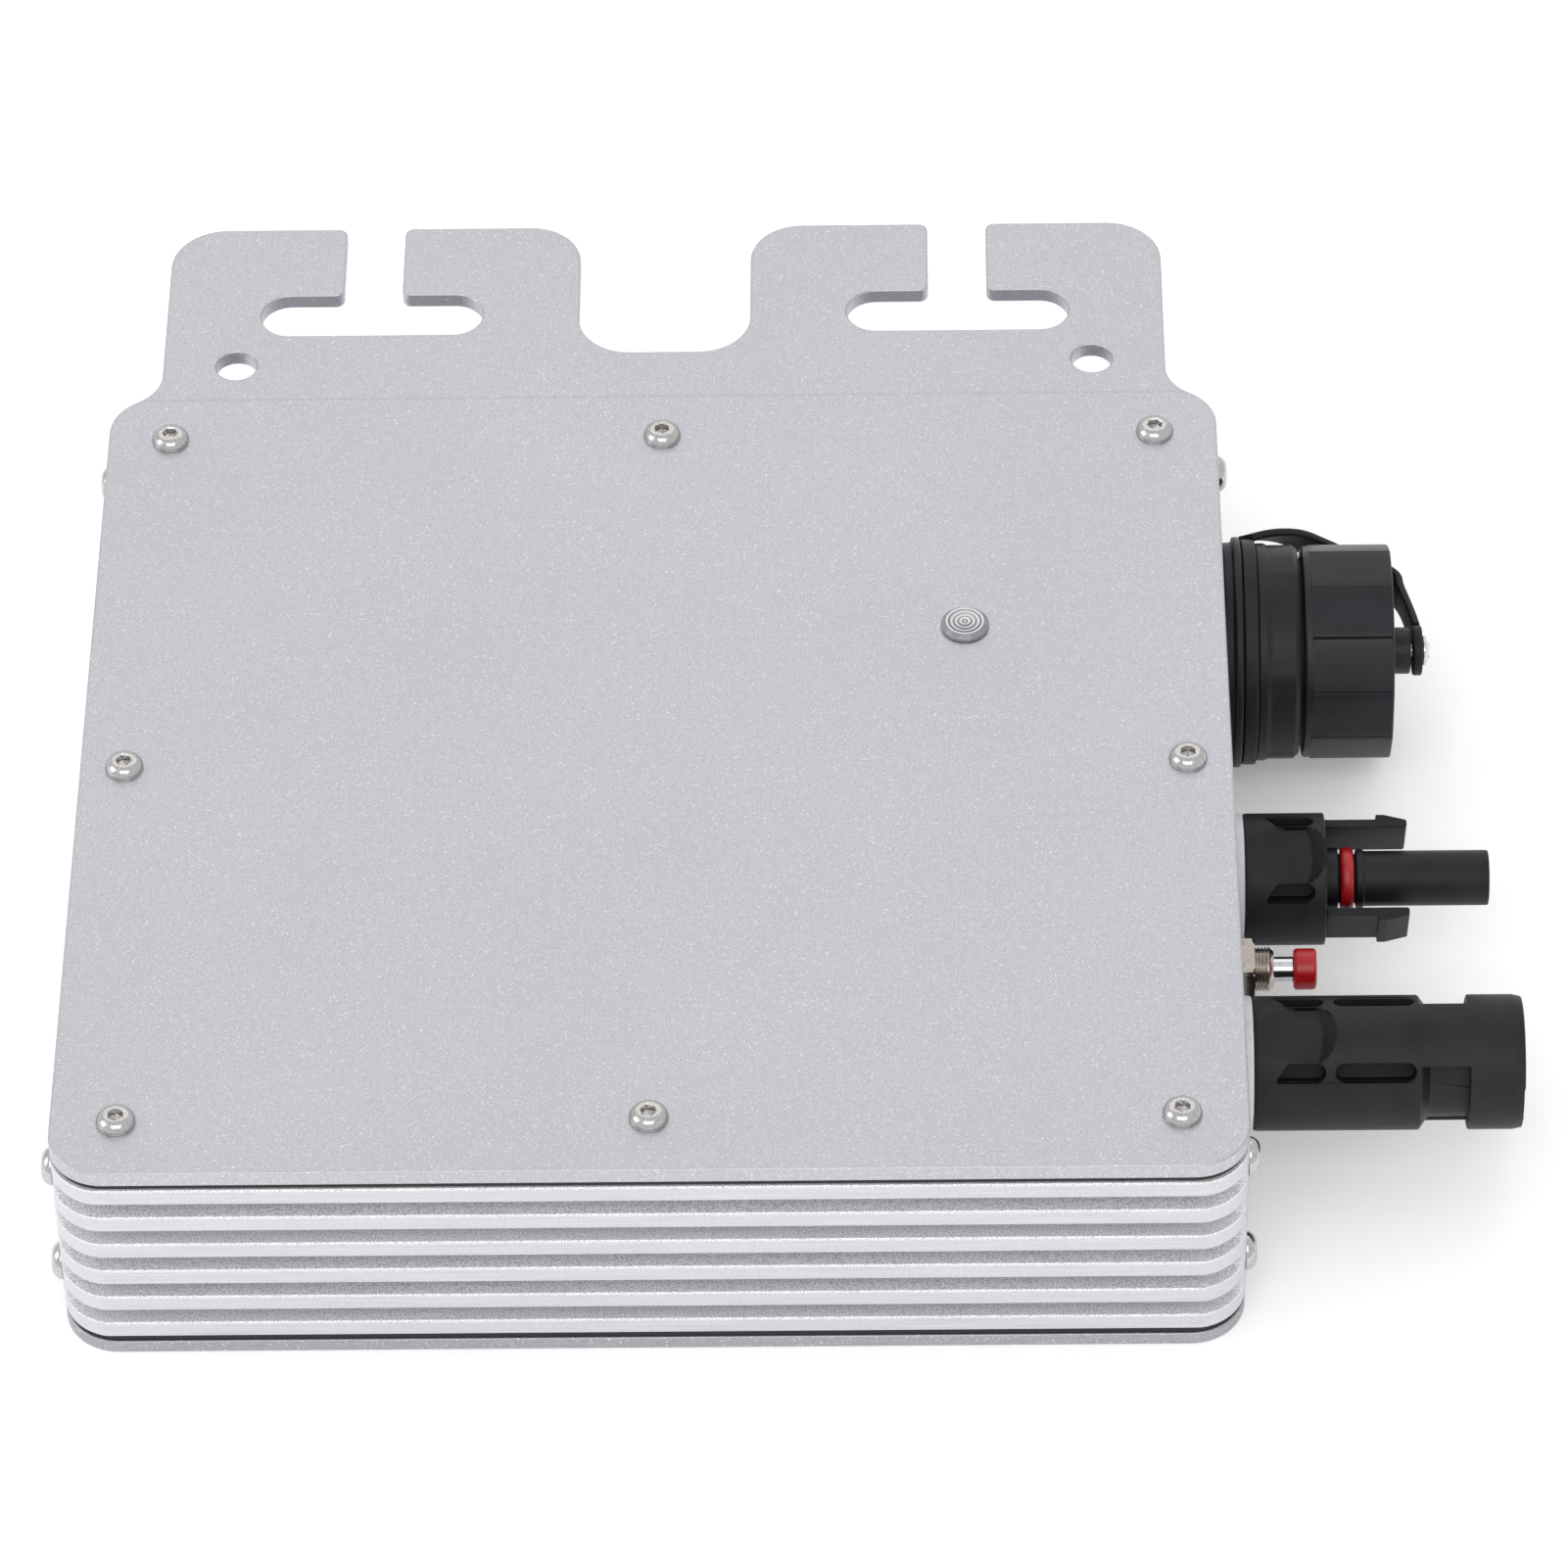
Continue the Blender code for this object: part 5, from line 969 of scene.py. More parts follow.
def cap_shape(x, radius, angle):
    """Twelve crowned flats beyond a round rim, with a groove on every corner."""
    if x <= CAP_START + CAP_RIM or radius < CAP_RIM_RADIUS * 0.9:
        return radius
    flat = flat_sided(radius, angle, CAP_SIDES, CAP_TURNED)
    off_corner = abs((angle - CAP_TURNED + TURN / 24) % (TURN / 12) - TURN / 24)
    crowned = flat + CAP_CROWN * (radius - flat)
    return crowned - CAP_GROOVE * max(0, 1 - off_corner / CAP_GROOVE_ANGLE)


cap_angles = []
for k in range(CAP_SIDES):
    for step in (0, 0.8, 2.5, 6, 10.5, 15, 19.5, 24, 27.5, 29.2):
        cap_angles.append(CAP_TURNED + math.radians(30 * k + step))
outside = softened([
    (CAP_START, CAP_BORE_RADIUS + 0.1 * MM), (CAP_START, CAP_RIM_RADIUS),
    (CAP_START + CAP_RIM, CAP_RIM_RADIUS)], 0.6 * MM)
far_edge = softened([
    (CAP_START + CAP_RIM + 0.1 * MM, CAP_RADIUS), (CAP_END, CAP_RADIUS),
    (CAP_END, CAP_BOSS_RADIUS), (CAP_BOSS_END, CAP_BOSS_RADIUS),
    (CAP_BOSS_END, CAP_SCREW_RADIUS + 0.5 * MM)], 0.4 * MM)
mesh = wound(outside + far_edge, cap_shape, cap_angles)
hollow = drill(CAP_START - MM, CAP_FLOOR, CAP_BORE_RADIUS)
screw_bore = drill(CAP_SCREW_TIP, CAP_BOSS_END + MM, CAP_SCREW_RADIUS + 0.2 * MM)
mesh = carved(carved(mesh, hollow), screw_bore)
cap_plastic = moulded_plastic("glass_filled_nylon_cap", "#101016", "#1D1D24", 0.4,
                              Specular_IOR_Level=0.38)
piece("ac_screw_cap", placed(mesh, ac_axis), cap_plastic, "ac_cap", ["ac_cap"])

# The small bright pan-head screw that holds the strap's tab to the boss, free to turn in it.
TAB_SCREW_SEAT = 30.65 * MM
TAB_SCREW_HEAD_RADIUS = 2.3 * MM
TAB_SCREW_HEAD_HEIGHT = 1.1 * MM
TAB_SCREW_TIP = 25.9 * MM
CROSS_REACH = 1.4 * MM
CROSS_HALF_WIDTH = 0.25 * MM
CROSS_FLOOR = 0.5 * MM

bright = bright_metal("zinc_plated_steel", "#B9BBBE", "#E8E9EC", 0.14, TUMBLE_MARK, 0.01 * MM)
profile = softened([
    (TAB_SCREW_TIP, 0), (TAB_SCREW_TIP + 0.5 * MM, CAP_SCREW_RADIUS),
    (TAB_SCREW_SEAT, CAP_SCREW_RADIUS), (TAB_SCREW_SEAT, TAB_SCREW_HEAD_RADIUS),
    (TAB_SCREW_SEAT + 0.45 * TAB_SCREW_HEAD_HEIGHT, TAB_SCREW_HEAD_RADIUS),
    (TAB_SCREW_SEAT + TAB_SCREW_HEAD_HEIGHT, 0.5 * TAB_SCREW_HEAD_RADIUS),
    (TAB_SCREW_SEAT + TAB_SCREW_HEAD_HEIGHT, 0)], 0.25 * MM)
mesh = spun(profile, 32)
for y, z in ((CROSS_REACH, CROSS_HALF_WIDTH), (CROSS_HALF_WIDTH, CROSS_REACH)):
    mesh = carved(mesh, block((TAB_SCREW_SEAT + CROSS_FLOOR, -y, -z),
                              (TAB_SCREW_SEAT + TAB_SCREW_HEAD_HEIGHT + MM, y, z)))
piece("strap_pan_screw", placed(mesh, ac_axis), bright, "ac_cap",
      ["ac_strap_screw"])

# --- AC strap -----------------------------------------------------------------------------------
# One flexible moulding in black TPE: a ring snapped round the receptacle, a flat band that arches
# over the far side of the cap, and a tab under the small screw.

STRAP_RING_START = 3.0 * MM
STRAP_RING_END = 5.18 * MM
STRAP_RING_RADIUS = 17.15 * MM
STRAP_THICKNESS = 1.2 * MM
STRAP_WIDTH = 5 * MM
STRAP_STEPS = 8
TAB_START = 29.1 * MM
TAB_END = 30.6 * MM
TAB_RADIUS = 3.8 * MM
TAB_HOLE_RADIUS = 1.4 * MM
# Each point of the band is a distance from the plate, a radius, and an angle from the top.
STRAP_ROUTE = [(4.05, 17.25, 48), (6.65, 18.0, 52), (11, 18.5, 62), (15, 18.4, 74),
               (19, 18.3, 84), (23, 18.1, 91), (26.4, 17.2, 96), (28.0, 14.0, 98),
               (29.2, 8.0, 97), (29.85, 3.6, 95)]


def smooth_run(points, steps):
    """A Catmull-Rom curve through the given points."""
    ends = [2 * points[0] - points[1]] + points + [2 * points[-1] - points[-2]]
    run = []
    for a, b, c, d in zip(ends, ends[1:], ends[2:], ends[3:]):
        for k in range(steps):
            t = k / steps
            run.append(0.5 * (2 * b + (c - a) * t + (2 * a - 5 * b + 4 * c - d) * t**2
                              + (3 * b - a - 3 * c + d) * t**3))
    run.append(points[-1])
    return run


def strap_band():
    """The band's round-edged section swept along its route; it ends facing along the axis."""
    route = smooth_run([Vector((x * MM, r * MM, a)) for x, r, a in STRAP_ROUTE], STRAP_STEPS)
    middle, outward = [], []
    for x, radius, angle in route:
        out = Vector((0, math.sin(math.radians(angle)), math.cos(math.radians(angle))))
        middle.append(Vector((x, 0, 0)) + out * radius)
        outward.append(out)
    last = 3 * STRAP_STEPS
    for k in range(last):
        i = len(route) - last + k
        outward[i] = outward[i].lerp(Vector((1, 0, 0)), k / (last - 1))
    half, thick = STRAP_WIDTH / 2, STRAP_THICKNESS / 2
    section = rounded([(-half, -thick, 0.4 * MM), (half, -thick, 0.4 * MM),
                       (half, thick, 0.4 * MM), (-half, thick, 0.4 * MM)], math.radians(30))
    mesh = bmesh.new()
    rings = []
    for i, point in enumerate(middle):
        ahead = middle[min(i + 1, len(middle) - 1)] - middle[max(i - 1, 0)]
        side = ahead.cross(outward[i]).normalized()
        up = side.cross(ahead).normalized()
        rings.append([mesh.verts.new(point + side * p.x + up * p.y) for p in section])
    return skinned(mesh, rings)


def ring_profile(start, end, inner, outer, edge):
    """A round-edged ring section that starts and ends inside its bore face."""
    middle = (start + end) / 2
    corners = [(middle, inner), (start, inner), (start, outer), (end, outer), (end, inner),
               (middle, inner)]
    return softened(corners, edge)[:-1]


tpe = moulded_plastic("thermoplastic_elastomer_moulded", "#121216", "#202025", 0.52,
                      Specular_IOR_Level=0.3)
ring = spun(ring_profile(STRAP_RING_START, STRAP_RING_END, AC_SEAT_RADIUS + 0.1 * MM,
                         STRAP_RING_RADIUS, 0.4 * MM), 96)
tab = spun(ring_profile(TAB_START, TAB_END, TAB_HOLE_RADIUS, TAB_RADIUS, 0.4 * MM), 48)
mesh = carved(carved(ring, strap_band(), "UNION"), tab, "UNION")
strap = piece("cap_strap", placed(mesh, ac_axis), tpe, None, ["ac_strap", "ac_strap_tab"])
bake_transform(strap)

# --- DC connectors ------------------------------------------------------------------------------
# Two black nylon panel connectors for the solar module's leads, turned a little in their holes:
# a plug with a long probe and snap fingers, and a shell with windows for such fingers.

DC_BASE = 1.7 * MM
DC_BODY_RADIUS = 9.8 * MM
DC_STEM_LENGTH = 9 * MM
DC_EDGE = 0.35 * MM
DC_ROUNDING = 0.22 * MM
GRIP_SLOPE = 5.8 * MM
GRIP_FLAT = 3.6 * MM
GRIP_END = 2.2 * MM
GRIP_DEPTH = 1.8 * MM
GRIP_WIDTH = 9 * MM
GRIP_END_BOW = 0.9 * MM
POCKET_ANGLE = 37
POCKET_WIDTH = 2.6 * MM
POCKET_DEPTH = 3.9 * MM
POCKET_SLANT = 1.8 * MM
POCKET_START = 4.7 * MM
POCKET_LENGTH = 7.2 * MM

dc_plastic = moulded_plastic("nylon_66_moulded_matt", "#111115", "#202025", 0.5,
                             Specular_IOR_Level=0.32)
plug_axis = (Matrix.Translation((HALF_WIDTH, centre_of("dc_plug_nut").y, panel_middle.z))
             @ Matrix.Rotation(math.radians(20), 4, "X"))
socket_axis = (Matrix.Translation((HALF_WIDTH, centre_of("dc_socket_nut").y, panel_middle.z))
               @ Matrix.Rotation(math.radians(15), 4, "X"))


def prism(outline, low, high, turned_by=0.0):
    """Extrude an (x, y) outline upward from one height to another, then roll it about X."""
    mesh = bmesh.new()
    rings = [[mesh.verts.new((*p[:2], z)) for p in outline] for z in (low, high)]
    skinned(mesh, rings)
    return placed(mesh, Matrix.Rotation(turned_by, 4, "X"))


def grip(turned_by):
    """A thumb recess: a long slope, a flat, and a steep far end that bows outward."""
    low, high = DC_BODY_RADIUS - GRIP_DEPTH, DC_BODY_RADIUS + MM
    begin = DC_BASE + 0.5 * MM
    slope_end = begin + GRIP_SLOPE
    flat_end = slope_end + GRIP_FLAT
    steepness = (high - low) / GRIP_DEPTH
    profile = [(begin, high), (begin, DC_BODY_RADIUS), (slope_end, low), (flat_end, low),
               (flat_end + GRIP_END * steepness, high)]
    mesh = bmesh.new()
    rings = []
    for k in range(13):
        across = 2 * k / 12 - 1
        bow = GRIP_END_BOW * (1 - across**2)
        ring = []
        for i, (x, z) in enumerate(profile):
            shift = bow - GRIP_END_BOW if i > 2 else 0
            ring.append(mesh.verts.new((x + shift, across * GRIP_WIDTH / 2, z)))
        rings.append(ring)
    skinned(mesh, rings)
    return placed(mesh, Matrix.Rotation(turned_by, 4, "X"))


def pocket(start, length, side, flip, slanted):
    """A deep slot beside a thumb recess, round-ended or cut to a point on its outer side."""
    half = POCKET_WIDTH / 2
    outer = -math.copysign(half, side)
    far = [(start + length, -outer, half * 0.98), (start + length, outer, half * 0.98)]
    near = [(start, outer, half * 0.98), (start, -outer, half * 0.98)]
    if slanted:
        near = [(start, outer, 0.2 * MM), (start + POCKET_SLANT, -outer, 0.6 * MM)]
    outline = rounded(near + far, math.radians(15))
    return prism(outline, DC_BODY_RADIUS - POCKET_DEPTH, DC_BODY_RADIUS + MM,
                 math.radians(flip + side))


def shaped_body(mesh, pockets):
    """Cut the thumb recesses and pockets, alike above and below."""
    cutters = []
    for flip in (0, 180):
        mesh = carved(mesh, grip(math.radians(flip)))
        for start, length in pockets:
            for side in (-POCKET_ANGLE, POCKET_ANGLE):
                cutters.append(pocket(start, length, side, flip, start == POCKET_START))
    return carved(mesh, gathered(cutters))


# The plug is one moulding with its probe. Its contact tube is tinned copper alloy.
PLUG_FRONT = 13.7 * MM
PROBE_RADIUS = 4.1 * MM
PROBE_ROOT_RADIUS = 4.6 * MM
PROBE_TIP = 38 * MM
PROBE_BORE_RADIUS = 2.2 * MM
PROBE_FLOOR = 7.7 * MM
GROOVE_START = 15.7 * MM
GROOVE_END = 18.3 * MM
GROOVE_RADIUS = 3.6 * MM
COLLAR_RADIUS = 4.35 * MM
COLLAR_END = 19.3 * MM

profile = softened([
    (-DC_STEM_LENGTH, 0), (-DC_STEM_LENGTH, DC_STEM_RADIUS), (DC_BASE, DC_STEM_RADIUS),
    (DC_BASE, DC_BODY_RADIUS), (PLUG_FRONT, DC_BODY_RADIUS), (PLUG_FRONT, PROBE_ROOT_RADIUS),
    (GROOVE_START, PROBE_ROOT_RADIUS), (GROOVE_START, GROOVE_RADIUS), (GROOVE_END, GROOVE_RADIUS),
    (GROOVE_END, COLLAR_RADIUS), (COLLAR_END, COLLAR_RADIUS),
    (COLLAR_END + 0.3 * MM, PROBE_RADIUS), (PROBE_TIP, PROBE_RADIUS),
    (PROBE_TIP, PROBE_BORE_RADIUS), (PROBE_FLOOR, PROBE_BORE_RADIUS), (PROBE_FLOOR, 0)],
    DC_EDGE)
mesh = shaped_body(spun(profile, 96), [(POCKET_START, POCKET_LENGTH)])
piece("dc_plug_moulding", placed(mesh, plug_axis), dc_plastic, "housing", ["dc_plug_housing"],
      bevel=DC_ROUNDING, angle=38)

CONTACT_START = 8 * MM
CONTACT_END = 37 * MM
CONTACT_RADIUS = 1.9 * MM
CONTACT_BORE_RADIUS = 1.25 * MM

tin = bright_metal("copper_alloy_tin_plated", "#B9B4AA", "#D8D5CE", 0.26, 0.5 * MM, 0.01 * MM)
tube = softened([
    (CONTACT_START + MM, CONTACT_BORE_RADIUS), (CONTACT_START, CONTACT_BORE_RADIUS),
    (CONTACT_START, CONTACT_RADIUS), (CONTACT_END, CONTACT_RADIUS),
    (CONTACT_END, CONTACT_BORE_RADIUS), (CONTACT_START + 1.1 * MM, CONTACT_BORE_RADIUS)],
    0.15 * MM)
piece("dc_plug_socket_contact", placed(spun(tube, 32), plug_axis), tin, "housing",
      ["dc_plug_contact"])

# A red silicone O-ring sits in the probe's groove and seals the joint when it is mated.
O_RING_MIDDLE = 17.0 * MM
O_RING_SECTION = 0.98 * MM
O_RING_OUTER = 4.7 * MM
O_RING_INNER = 3.65 * MM

red_rubber = moulded_plastic("silicone_rubber_red", "#981018", "#B81C24", 0.34, 0.6 * MM)
ring = []
for k in range(17):
    angle = TURN * k / 16
    ring.append((O_RING_MIDDLE + O_RING_SECTION * math.sin(angle),
                 (O_RING_INNER + O_RING_OUTER) / 2
                 + (O_RING_OUTER - O_RING_INNER) / 2 * math.cos(angle)))
piece("probe_o_ring", placed(spun(ring[:-1], 64), plug_axis), red_rubber, "housing",
      ["dc_plug_o_ring"])

# The two snap fingers bend inward from the plug's front face as it enters a mating shell.
FINGER_ROOT = 14 * MM
FINGER_AXIS = 7.15 * MM
FINGER_LENGTH = 12 * MM
FINGER_THICKNESS = 1.3 * MM
FINGER_WIDTH = 8.2 * MM
BARB_LENGTH = 4.6 * MM
BARB_HEIGHT = 0.75 * MM


def finger_mesh():
    """One finger along X, a straight extrusion of its side outline, with an outer barb."""
    inner, outer = -FINGER_THICKNESS / 2, FINGER_THICKNESS / 2
    heel = FINGER_LENGTH - BARB_LENGTH
    outline = rounded([
        (-0.2 * MM, inner, 0.1 * MM), (FINGER_LENGTH, inner, 0.4 * MM),
        (FINGER_LENGTH, outer - 0.1 * MM, 0.3 * MM),
        (heel + 1.2 * MM, outer + BARB_HEIGHT, 0.4 * MM),
        (heel, outer + BARB_HEIGHT, 0.2 * MM), (heel, outer, 0.2 * MM),
        (-0.2 * MM, outer, 0.1 * MM)], math.radians(30))
    return prism(outline, -FINGER_WIDTH / 2, FINGER_WIDTH / 2)


for name, body, side in (("snap_finger_rear", "latch_rear", 1),
                         ("snap_finger_front", "latch_front", -1)):
    at = (plug_axis @ Matrix.Translation((FINGER_ROOT, side * FINGER_AXIS, 0))
          @ Matrix.Rotation(0 if side > 0 else math.pi, 4, "X"))
    piece(name, placed(finger_mesh(), at), dc_plastic, body,
          ["dc_latch_rear" if side > 0 else "dc_latch_front"],
          bevel=0.15 * MM)

# The shell's neck has a long window on each side, and its bore holds the contact pin.
SHELL_END = 25.7 * MM
SHELL_CHAMFER = 1.4 * MM
SHELL_NECK_RADIUS = 7.85 * MM
SHELL_COLLAR = 32.8 * MM
SHELL_TIP = 40.8 * MM
SHELL_MOUTH_RADIUS = 9.5 * MM
SHELL_BORE_RADIUS = 5 * MM
SHELL_FLOOR = 11.8 * MM
BAND_ANGLE = 32.5
SLOT_INNER_RADIUS = 6.2 * MM
SLOT_OUTER_RADIUS = 9.35 * MM
SLOT_ANGLE = 35
SLOT_START = 32.8 * MM
SECOND_POCKET_START = 13.4 * MM
SECOND_POCKET_LENGTH = 11.6 * MM


def sector(inner, outer, middle, spread, start, end, steps=20):
    """A part of a ring about X, round an angle from the top; start may differ by radius."""
    mesh = bmesh.new()
    rings = []
    for k in range(steps + 1):
        angle = math.radians(middle + spread * (2 * k / steps - 1))
        out = Vector((0, math.sin(angle), math.cos(angle)))
        corners = ((start[0], inner), (start[1], outer), (end, outer), (end, inner))
        rings.append([mesh.verts.new(out * radius + Vector((x, 0, 0))) for x, radius in corners])
    return skinned(mesh, rings)


profile = softened([
    (-DC_STEM_LENGTH, 0), (-DC_STEM_LENGTH, DC_STEM_RADIUS), (DC_BASE, DC_STEM_RADIUS),
    (DC_BASE, DC_BODY_RADIUS), (SHELL_TIP - 1.5 * MM, DC_BODY_RADIUS),
    (SHELL_TIP, SHELL_MOUTH_RADIUS), (SHELL_TIP, SHELL_BORE_RADIUS),
    (SHELL_FLOOR, SHELL_BORE_RADIUS), (SHELL_FLOOR, 0)], 0.5 * MM)
mesh = shaped_body(spun(profile, 96), [(POCKET_START, POCKET_LENGTH),
                                       (SECOND_POCKET_START, SECOND_POCKET_LENGTH)])
lean = (MM + DC_BODY_RADIUS - SHELL_NECK_RADIUS) / (DC_BODY_RADIUS - SHELL_NECK_RADIUS)
for side in (90, -90):
    window = sector(SHELL_NECK_RADIUS, DC_BODY_RADIUS + MM, side, 90 - BAND_ANGLE,
                    (SHELL_END + SHELL_CHAMFER, SHELL_END + SHELL_CHAMFER * (1 - lean)),
                    SHELL_COLLAR)
    slot = sector(SLOT_INNER_RADIUS, SLOT_OUTER_RADIUS, side, SLOT_ANGLE, (SLOT_START,) * 2,
                  SHELL_TIP + MM)
    mesh = carved(carved(mesh, window), slot)
piece("dc_socket_moulding", placed(mesh, socket_axis), dc_plastic, "housing",
      ["dc_socket_shell"], bevel=DC_ROUNDING, angle=38)

PIN_RADIUS = 1.25 * MM
PIN_END = 34.3 * MM

pin = [(SHELL_FLOOR + 0.05 * MM, 0), (SHELL_FLOOR + 0.05 * MM, PIN_RADIUS),
       (PIN_END - 1.3 * MM, PIN_RADIUS)]
for k in range(1, 7):
    angle = math.pi / 2 * k / 6
    pin.append((PIN_END - 1.3 * MM + 1.3 * MM * math.sin(angle), PIN_RADIUS * math.cos(angle)))
piece("dc_socket_pin", placed(spun(pin[:-1] + [(PIN_END, 0)], 32), socket_axis), tin, "housing",
      ["dc_socket_contact"])

# A pale silicone washer under each body, a touch wider than it, is squeezed against the panel.
SEAL_START = 0.04 * MM
SEAL_END = 1.68 * MM
SEAL_RADIUS = 9.85 * MM

silicone, tree, shader = surface("silicone_washer_translucent", IOR=1.41,
                                 Transmission_Weight=0.1)
place = add(tree, "ShaderNodeTexCoord").outputs["Object"]
cloudy = add(tree, "ShaderNodeTexNoise", {"Vector": place, "Scale": 1 / (1.4 * MM),
                                          "Detail": 4.0}).outputs["Fac"]
tone = add(tree, "ShaderNodeMix", {0: cloudy, 6: linear("#D0D1D4"), 7: linear("#F0F0F2")},
           data_type="RGBA").outputs[2]
rough = add(tree, "ShaderNodeMapRange", {"Value": cloudy, "To Min": 0.35, "To Max": 0.55})
bump = add(tree, "ShaderNodeBump", {"Height": cloudy, "Strength": 0.3, "Distance": 0.1 * MM})
connect(tree, shader, Base_Color=tone, Roughness=rough.outputs["Result"],
        Normal=bump.outputs["Normal"])
washer = ring_profile(SEAL_START, SEAL_END, DC_STEM_RADIUS + 0.05 * MM, SEAL_RADIUS, 0.5 * MM)
for name, node, axis in (("dc_plug_washer", "dc_plug_seal", plug_axis),
                         ("dc_socket_washer", "dc_socket_seal", socket_axis)):
    piece(name, placed(spun(washer, 96), axis), silicone, "housing", [node])

# --- Push button --------------------------------------------------------------------------------
# A small panel push button. A nickel-plated nut and threaded bushing hold it in the panel, and a
# polished stem with a red moulded cap slides in the bushing against a spring.

NUT_START = 0.05 * MM
NUT_END = 2.65 * MM
NUT_RADIUS = 5.5 * MM
NUT_TURN = math.radians(12)
THREAD_PITCH = 0.5 * MM
THREAD_DEPTH = 0.36 * MM
THREAD_START = -3 * MM
THREAD_END = 4.8 * MM
NOSE_END = 5.5 * MM
NOSE_RADIUS = 2.7 * MM
BUTTON_BORE_RADIUS = 2.15 * MM
CAN_BACK = -11.3 * MM
CAN_FRONT = -3.3 * MM
CAN_RADIUS = 4.5 * MM
CAN_FLOOR = -10.3 * MM

button_axis = Matrix.Translation((HALF_WIDTH, centre_of("button_bushing").y, panel_middle.z))
nickel = bright_metal("brass_nickel_plated", "#B9B1A8", "#D2CCC4", 0.2, 0.9 * MM, 0.003 * MM)


def nut_shape(x, radius, angle):
    """Hexagon flats on the full radius, with both ends turned down to a circle."""
    return min(radius, flat_sided(NUT_RADIUS, angle, 6, NUT_TURN))


rim = 0.35 * MM
profile = [(NUT_START, NUT_RADIUS - 0.62 * MM), (NUT_START + rim, NUT_RADIUS),
           (NUT_END - rim, NUT_RADIUS), (NUT_END, NUT_RADIUS - 0.62 * MM)]
mesh = wound(profile, nut_shape, [NUT_TURN + a for a in even(96)])
bore = drill(NUT_START - MM, NUT_END + MM, BUTTON_THREAD_RADIUS + 0.05 * MM)
piece("button_panel_nut", placed(carved(mesh, bore), button_axis), nickel, "housing",
      ["button_nut"])

thread = thread_shape(THREAD_START, THREAD_END, THREAD_PITCH, THREAD_DEPTH)
profile = ([(CAN_BACK, CAN_RADIUS - 0.3 * MM), (CAN_BACK + 0.3 * MM, CAN_RADIUS),
            (CAN_FRONT, CAN_RADIUS), (CAN_FRONT, BUTTON_THREAD_RADIUS)]
           + stations(THREAD_START, THREAD_END, BUTTON_THREAD_RADIUS, THREAD_PITCH / 8)
           + [(THREAD_END + 0.05 * MM, BUTTON_THREAD_RADIUS - 0.1 * MM),
              (NOSE_END, NOSE_RADIUS)])
bore = drill(CAN_FLOOR, NOSE_END + MM, BUTTON_BORE_RADIUS)
mesh = carved(wound(profile, thread, even(48)), bore)
piece("button_threaded_bushing", placed(mesh, button_axis), nickel, "housing",
      ["button_bushing"])

STEM_START = -4 * MM
STEM_RADIUS = 1.85 * MM
BUTTON_CAP_START = 8.4 * MM
BUTTON_CAP_END = 11.8 * MM
BUTTON_CAP_RADIUS = 3.05 * MM
SLEEVE_START = 4.4 * MM
SLEEVE_END = 5.45 * MM

chrome = bright_metal("steel_chrome_plated", "#C9CACD", "#E4E5E8", 0.07, 1.2 * MM, 0.004 * MM)
stem = softened([(STEM_START, 0), (STEM_START, STEM_RADIUS), (BUTTON_CAP_START, STEM_RADIUS),
                 (BUTTON_CAP_START, 0)], 0.15 * MM)
piece("button_stem", placed(spun(stem, 48), button_axis), chrome, "button",
      ["button_plunger"])

red_plastic = moulded_plastic("abs_moulded_red", "#B0121C", "#C61C26", 0.3, 0.5 * MM,
                              0.004 * MM)
cap = softened([
    (BUTTON_CAP_START + 0.02 * MM, 0), (BUTTON_CAP_START + 0.02 * MM, BUTTON_CAP_RADIUS),
    (BUTTON_CAP_END, BUTTON_CAP_RADIUS), (BUTTON_CAP_END, 0)], 0.6 * MM)
sleeve = spun(ring_profile(SLEEVE_START, SLEEVE_END, STEM_RADIUS + 0.02 * MM,
                           BUTTON_BORE_RADIUS - 0.03 * MM, 0.06 * MM), 48)
piece("button_cap", placed(gathered([spun(cap, 64), sleeve]), button_axis), red_plastic, "button",
      ["button_plunger"])

# The return spring is drawn steel wire, closed flat against the can's floor and the stem.
SPRING_BACK = -10.0 * MM
SPRING_FRONT = -4.3 * MM
SPRING_RADIUS = 1.4 * MM
WIRE_RADIUS = 0.2 * MM
SPRING_COILS = 4

spring_steel = bright_metal("spring_steel_drawn_wire", "#85868A", "#B6B7BB", 0.25, 0.3 * MM,
                            0.01 * MM)
mesh = bmesh.new()
rings = []
first, last = SPRING_BACK + WIRE_RADIUS, SPRING_FRONT - WIRE_RADIUS
for k in range(SPRING_COILS * 24 + 1):
    turn = k / 24
    rise = min(max((turn - 0.4) / (SPRING_COILS - 0.8), 0), 1)
    angle = TURN * turn
    out = Vector((0, math.cos(angle), math.sin(angle)))
    middle = Vector((first + (last - first) * rise, 0, 0)) + out * SPRING_RADIUS
    ring = []
    for n in range(10):
        around = TURN * n / 10
        ring.append(mesh.verts.new(middle + out * (WIRE_RADIUS * math.cos(around))
                                   + Vector((WIRE_RADIUS * math.sin(around), 0, 0))))
    rings.append(ring)
skinned(mesh, rings)
spring = piece("button_return_spring", placed(mesh, button_axis), spring_steel, "housing",
               ["button_spring"])
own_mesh(spring)

# --- Parts behind the panel and on the board ----------------------------------------------------
# These are carried over as they are: they are closed in by the housing. Each still has the look
# of its own material, for a view with the covers off.


